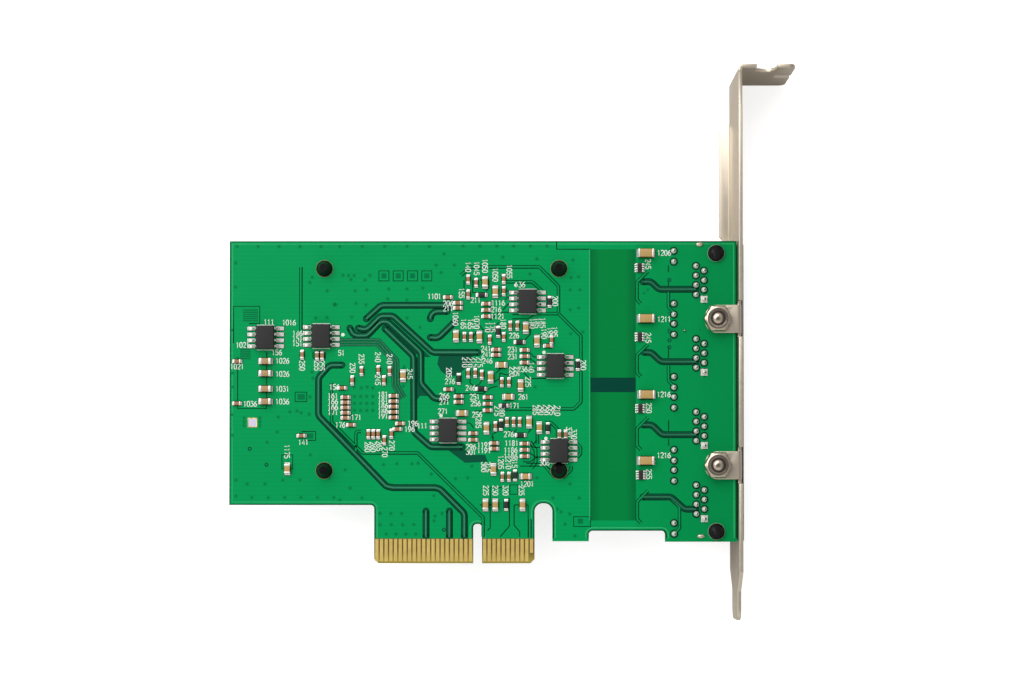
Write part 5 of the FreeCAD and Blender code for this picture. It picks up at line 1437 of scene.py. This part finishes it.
class CARD_OT_metal(CardOperator):
    """Rounds and plates the bracket, its screws and nuts, and the ports' shield"""

    bl_idname = "card.metal"
    bl_label = "Bracket and shield"

    def build(self, look, size):
        nickel = finish("bracket_nickel", look.nickel, 0.38, 0.92, grain=0.03, scale=700.0, relief=0.002)
        bright = finish("fastener_nickel", look.fastener, 0.16, 1.0, grain=0.12, scale=1300.0, relief=0.02)
        tinned = finish("shield_tin", look.shield, 0.3, 0.95, grain=0.06, scale=900.0, relief=0.02)
        eased("folded_bracket", "mounting_bracket", size.edge_ease, nickel, 3, 30.0, False)
        self.fasteners(bright, finish("thread_gap", look.gap, 0.5, 0.4, grain=0.1))
        drawn_in("port_shield", "jack_shield", tinned)
        assign("pin_springs", bright)

    @staticmethod
    def fasteners(metal, dark):
        """Turned screws with a chamfered tip, six-sided nuts with a round seat on top, and a dark disc of
        painted shade round each screw where it leaves its nut.
        """
        forms = (
            ("tab_screws", SCREW_PROFILE, 32, metal, "bracket_screws", True),
            ("tab_nuts", NUT_PROFILE, 6, metal, "bracket_nuts", True),
            ("nut_seats", NUT_SEAT, 40, metal, "bracket_nuts", False),
            ("thread_gaps", THREAD_SHADE, 32, dark, "bracket_nuts", False),
        )
        for name, profile, sides, material, node, stands_for in forms:
            places = [((c.x, c.y, c.z - e.z / 2), (1, 1, 1), 0) for c, e in solids(node)]
            replaced = (node,) if stands_for else ()
            spread(name, turned_shape(profile, sides), places, material, "nickel_steel_fasteners", replaced)


class CARD_OT_contacts(CardOperator):
    """Plates the edge contacts and the ports' contacts"""

    bl_idname = "card.contacts"
    bl_label = "Contacts"

    def build(self, look, size):
        gold = finish("contact_gold", look.gold, 0.34, 0.55, grain=0.09, scale=900.0)
        for node in ("solder_side_contacts", "component_side_contacts", "port_contacts"):
            assign(node, gold)


class CARD_OT_plastics(CardOperator):
    """Finishes the moulded pieces, lamps, pins and the heat sink"""

    bl_idname = "card.plastics"
    bl_label = "Plastics and heat sink"

    def build(self, look, size):
        texture = {"grain": 0.2, "scale": 900.0, "relief": 0.02}
        black = finish("black_plastic", look.plastic, 0.28, specular=0.16, **texture)
        assign("push_pins", black)
        drawn_in("port_housing", "jack_housing", black)
        assign("indicator_lamps", finish("lamp_plastic", look.light_guide, 0.25, grain=0.04, coat=0.3))
        anodised = finish("anodised", look.sink, 0.45, 0.6, grain=0.1, scale=2600.0, relief=0.02)
        assign("heat_sink", anodised)
        assign("thermal_pads", finish("thermal_rubber", look.rubber, 0.7, grain=0.06))


class CARD_OT_component_side(CardOperator):
    """Finishes the packages that hang below the board"""

    bl_idname = "card.component_side"
    bl_label = "Component side"

    def build(self, look, size):
        carrier = finish("carrier_laminate", look.carrier, 0.45, grain=0.06)
        cover = finish("cover_mould", look.mould, 0.55, grain=0.1, scale=1600.0, relief=0.02)
        for node in ("switch_chip_carrier", "controller_chip_carriers"):
            assign(node, carrier)
        for node in ("switch_chip_cover", "controller_chip_covers", "magnetics_bodies"):
            assign(node, cover)
        assign("magnetics_leads", finish("magnetics_lead", look.tin, 0.3, 0.8, grain=0.08))
        assign("power_inductors", finish("pressed_ferrite", look.ferrite, 0.6, 0.1, grain=0.12, scale=900.0))
        assign("polymer_capacitors", finish("polymer_case", look.polymer, 0.45, grain=0.1))
        assign("crystals", finish("crystal_can", look.shield, 0.28, 0.95, grain=0.05, scale=900.0))


class CARD_OT_stage(bpy.types.Operator):
    """Lays the white table and sets the lamps and the camera"""

    bl_idname = "card.stage"
    bl_label = "Table, lamps and camera"

    def execute(self, context):
        scene = context.scene
        stage = scene.card_stage
        mesh = bpy.data.meshes.new("table")
        corners = [(x, y, 0) for x, y in square_path((0, 0), TABLE_REACH)[:-1]]
        mesh.from_pydata(corners, [], [(0, 1, 2, 3)])
        table = bpy.data.objects.new("table", mesh)
        scene.collection.objects.link(table)
        graph = Graph("table_paper")
        path = graph.node("ShaderNodeLightPath").socket.node
        seen = Field(graph, path.outputs["Is Camera Ray"])
        mirrored = Field(graph, path.outputs["Is Glossy Ray"])
        graph.set(Base_Color=graph.mix(mirrored, TABLE_WHITE, TABLE_MIRRORED), Roughness=0.9)
        glow = graph.node("ShaderNodeEmission", {}, {"Color": (1, 1, 1, 1), "Strength": seen * TABLE_GLOW})
        both = graph.node("ShaderNodeAddShader", {}, {0: glow})
        graph.tree.links.new(graph.shader.outputs[0], both.socket.node.inputs[1])
        graph.tree.links.new(both.socket, graph.output.inputs["Surface"])
        mesh.materials.append(graph.material)

        self.room(scene, stage.sky)

        lamp = bpy.data.lights.new("soft_box", "AREA")
        lamp.shape = "RECTANGLE"
        lamp.size, lamp.size_y = LAMP_SIZE
        lamp.energy = stage.lamp
        holder = bpy.data.objects.new("soft_box", lamp)
        holder.location = LAMP_PLACE
        aim = Vector((0, 0, 0)) - holder.location
        holder.rotation_euler = aim.to_track_quat("-Z", "Y").to_euler()
        scene.collection.objects.link(holder)

        eye = bpy.data.cameras.new("camera")
        eye.sensor_width = SENSOR
        eye.lens = stage.lens
        eye.shift_y = RISE
        eye.clip_start = 0.05
        eye.clip_end = 10.0
        camera = bpy.data.objects.new("camera", eye)
        camera.matrix_world = Matrix.Translation(EYE * MM) @ EYE_TURN.to_4x4()
        scene.collection.objects.link(camera)
        scene.camera = camera
        scene.view_settings.view_transform = "Standard"
        return {"FINISHED"}

    @staticmethod
    def room(scene, sky):
        """An even white room, dimmer straight above and on the side past the bracket."""
        world = bpy.data.worlds.new("room")
        world.use_nodes = True
        room = Tree(world.node_tree)
        places = room.node("ShaderNodeTexCoord", out="Generated")
        split = room.node("ShaderNodeSeparateXYZ", {}, {"Vector": places}).socket.node
        above = Field(room, split.outputs["Z"]).ramp(0.86, 0.985)
        beside = Field(room, split.outputs["X"]).ramp(0.2, 0.9)
        seen = room.node("ShaderNodeLightPath", out="Is Camera Ray")
        light = (1.4 - above * 1.12 - beside * 1.05) * sky
        back = world.node_tree.nodes["Background"]
        back.inputs["Color"].default_value = (1, 1, 1, 1)
        world.node_tree.links.new((light * (1.0 - seen) + seen).socket, back.inputs["Strength"])
        scene.world = world


PIECES = (
    CARD_OT_board, CARD_OT_copper, CARD_OT_markings, CARD_OT_chip_parts, CARD_OT_packages, CARD_OT_joints,
    CARD_OT_metal, CARD_OT_contacts, CARD_OT_plastics, CARD_OT_component_side, CARD_OT_stage,
)


class CARD_PT_sidebar(bpy.types.Panel):
    """Lists the card's pieces and what can be changed"""

    bl_idname = "CARD_PT_sidebar"
    bl_label = "Network interface card"
    bl_space_type = "VIEW_3D"
    bl_region_type = "UI"
    bl_category = "Network card"

    def draw(self, context):
        layout = self.layout
        for group in (context.scene.card_sizes, context.scene.card_colours, context.scene.card_stage):
            box = layout.box()
            for name in group.__annotations__:
                box.prop(group, name)
        for operator in PIECES:
            layout.operator(operator.bl_idname)


GROUPS = {"card_colours": CardColours, "card_sizes": CardSizes, "card_stage": CardStage}


def register():
    for entry in (*GROUPS.values(), *PIECES, CARD_PT_sidebar):
        bpy.utils.register_class(entry)
    for name, group in GROUPS.items():
        setattr(bpy.types.Scene, name, PointerProperty(type=group))


def unregister():
    for name in GROUPS:
        delattr(bpy.types.Scene, name)
    for entry in reversed((*GROUPS.values(), *PIECES, CARD_PT_sidebar)):
        bpy.utils.unregister_class(entry)


def main():
    register()
    RECIPES["strip"] = ribbon_recipe()
    RECIPES["spread"] = spread_recipe()
    for operator in PIECES:
        getattr(bpy.ops.card, operator.bl_idname.split(".")[1])()


if __name__ == "__main__":
    main()
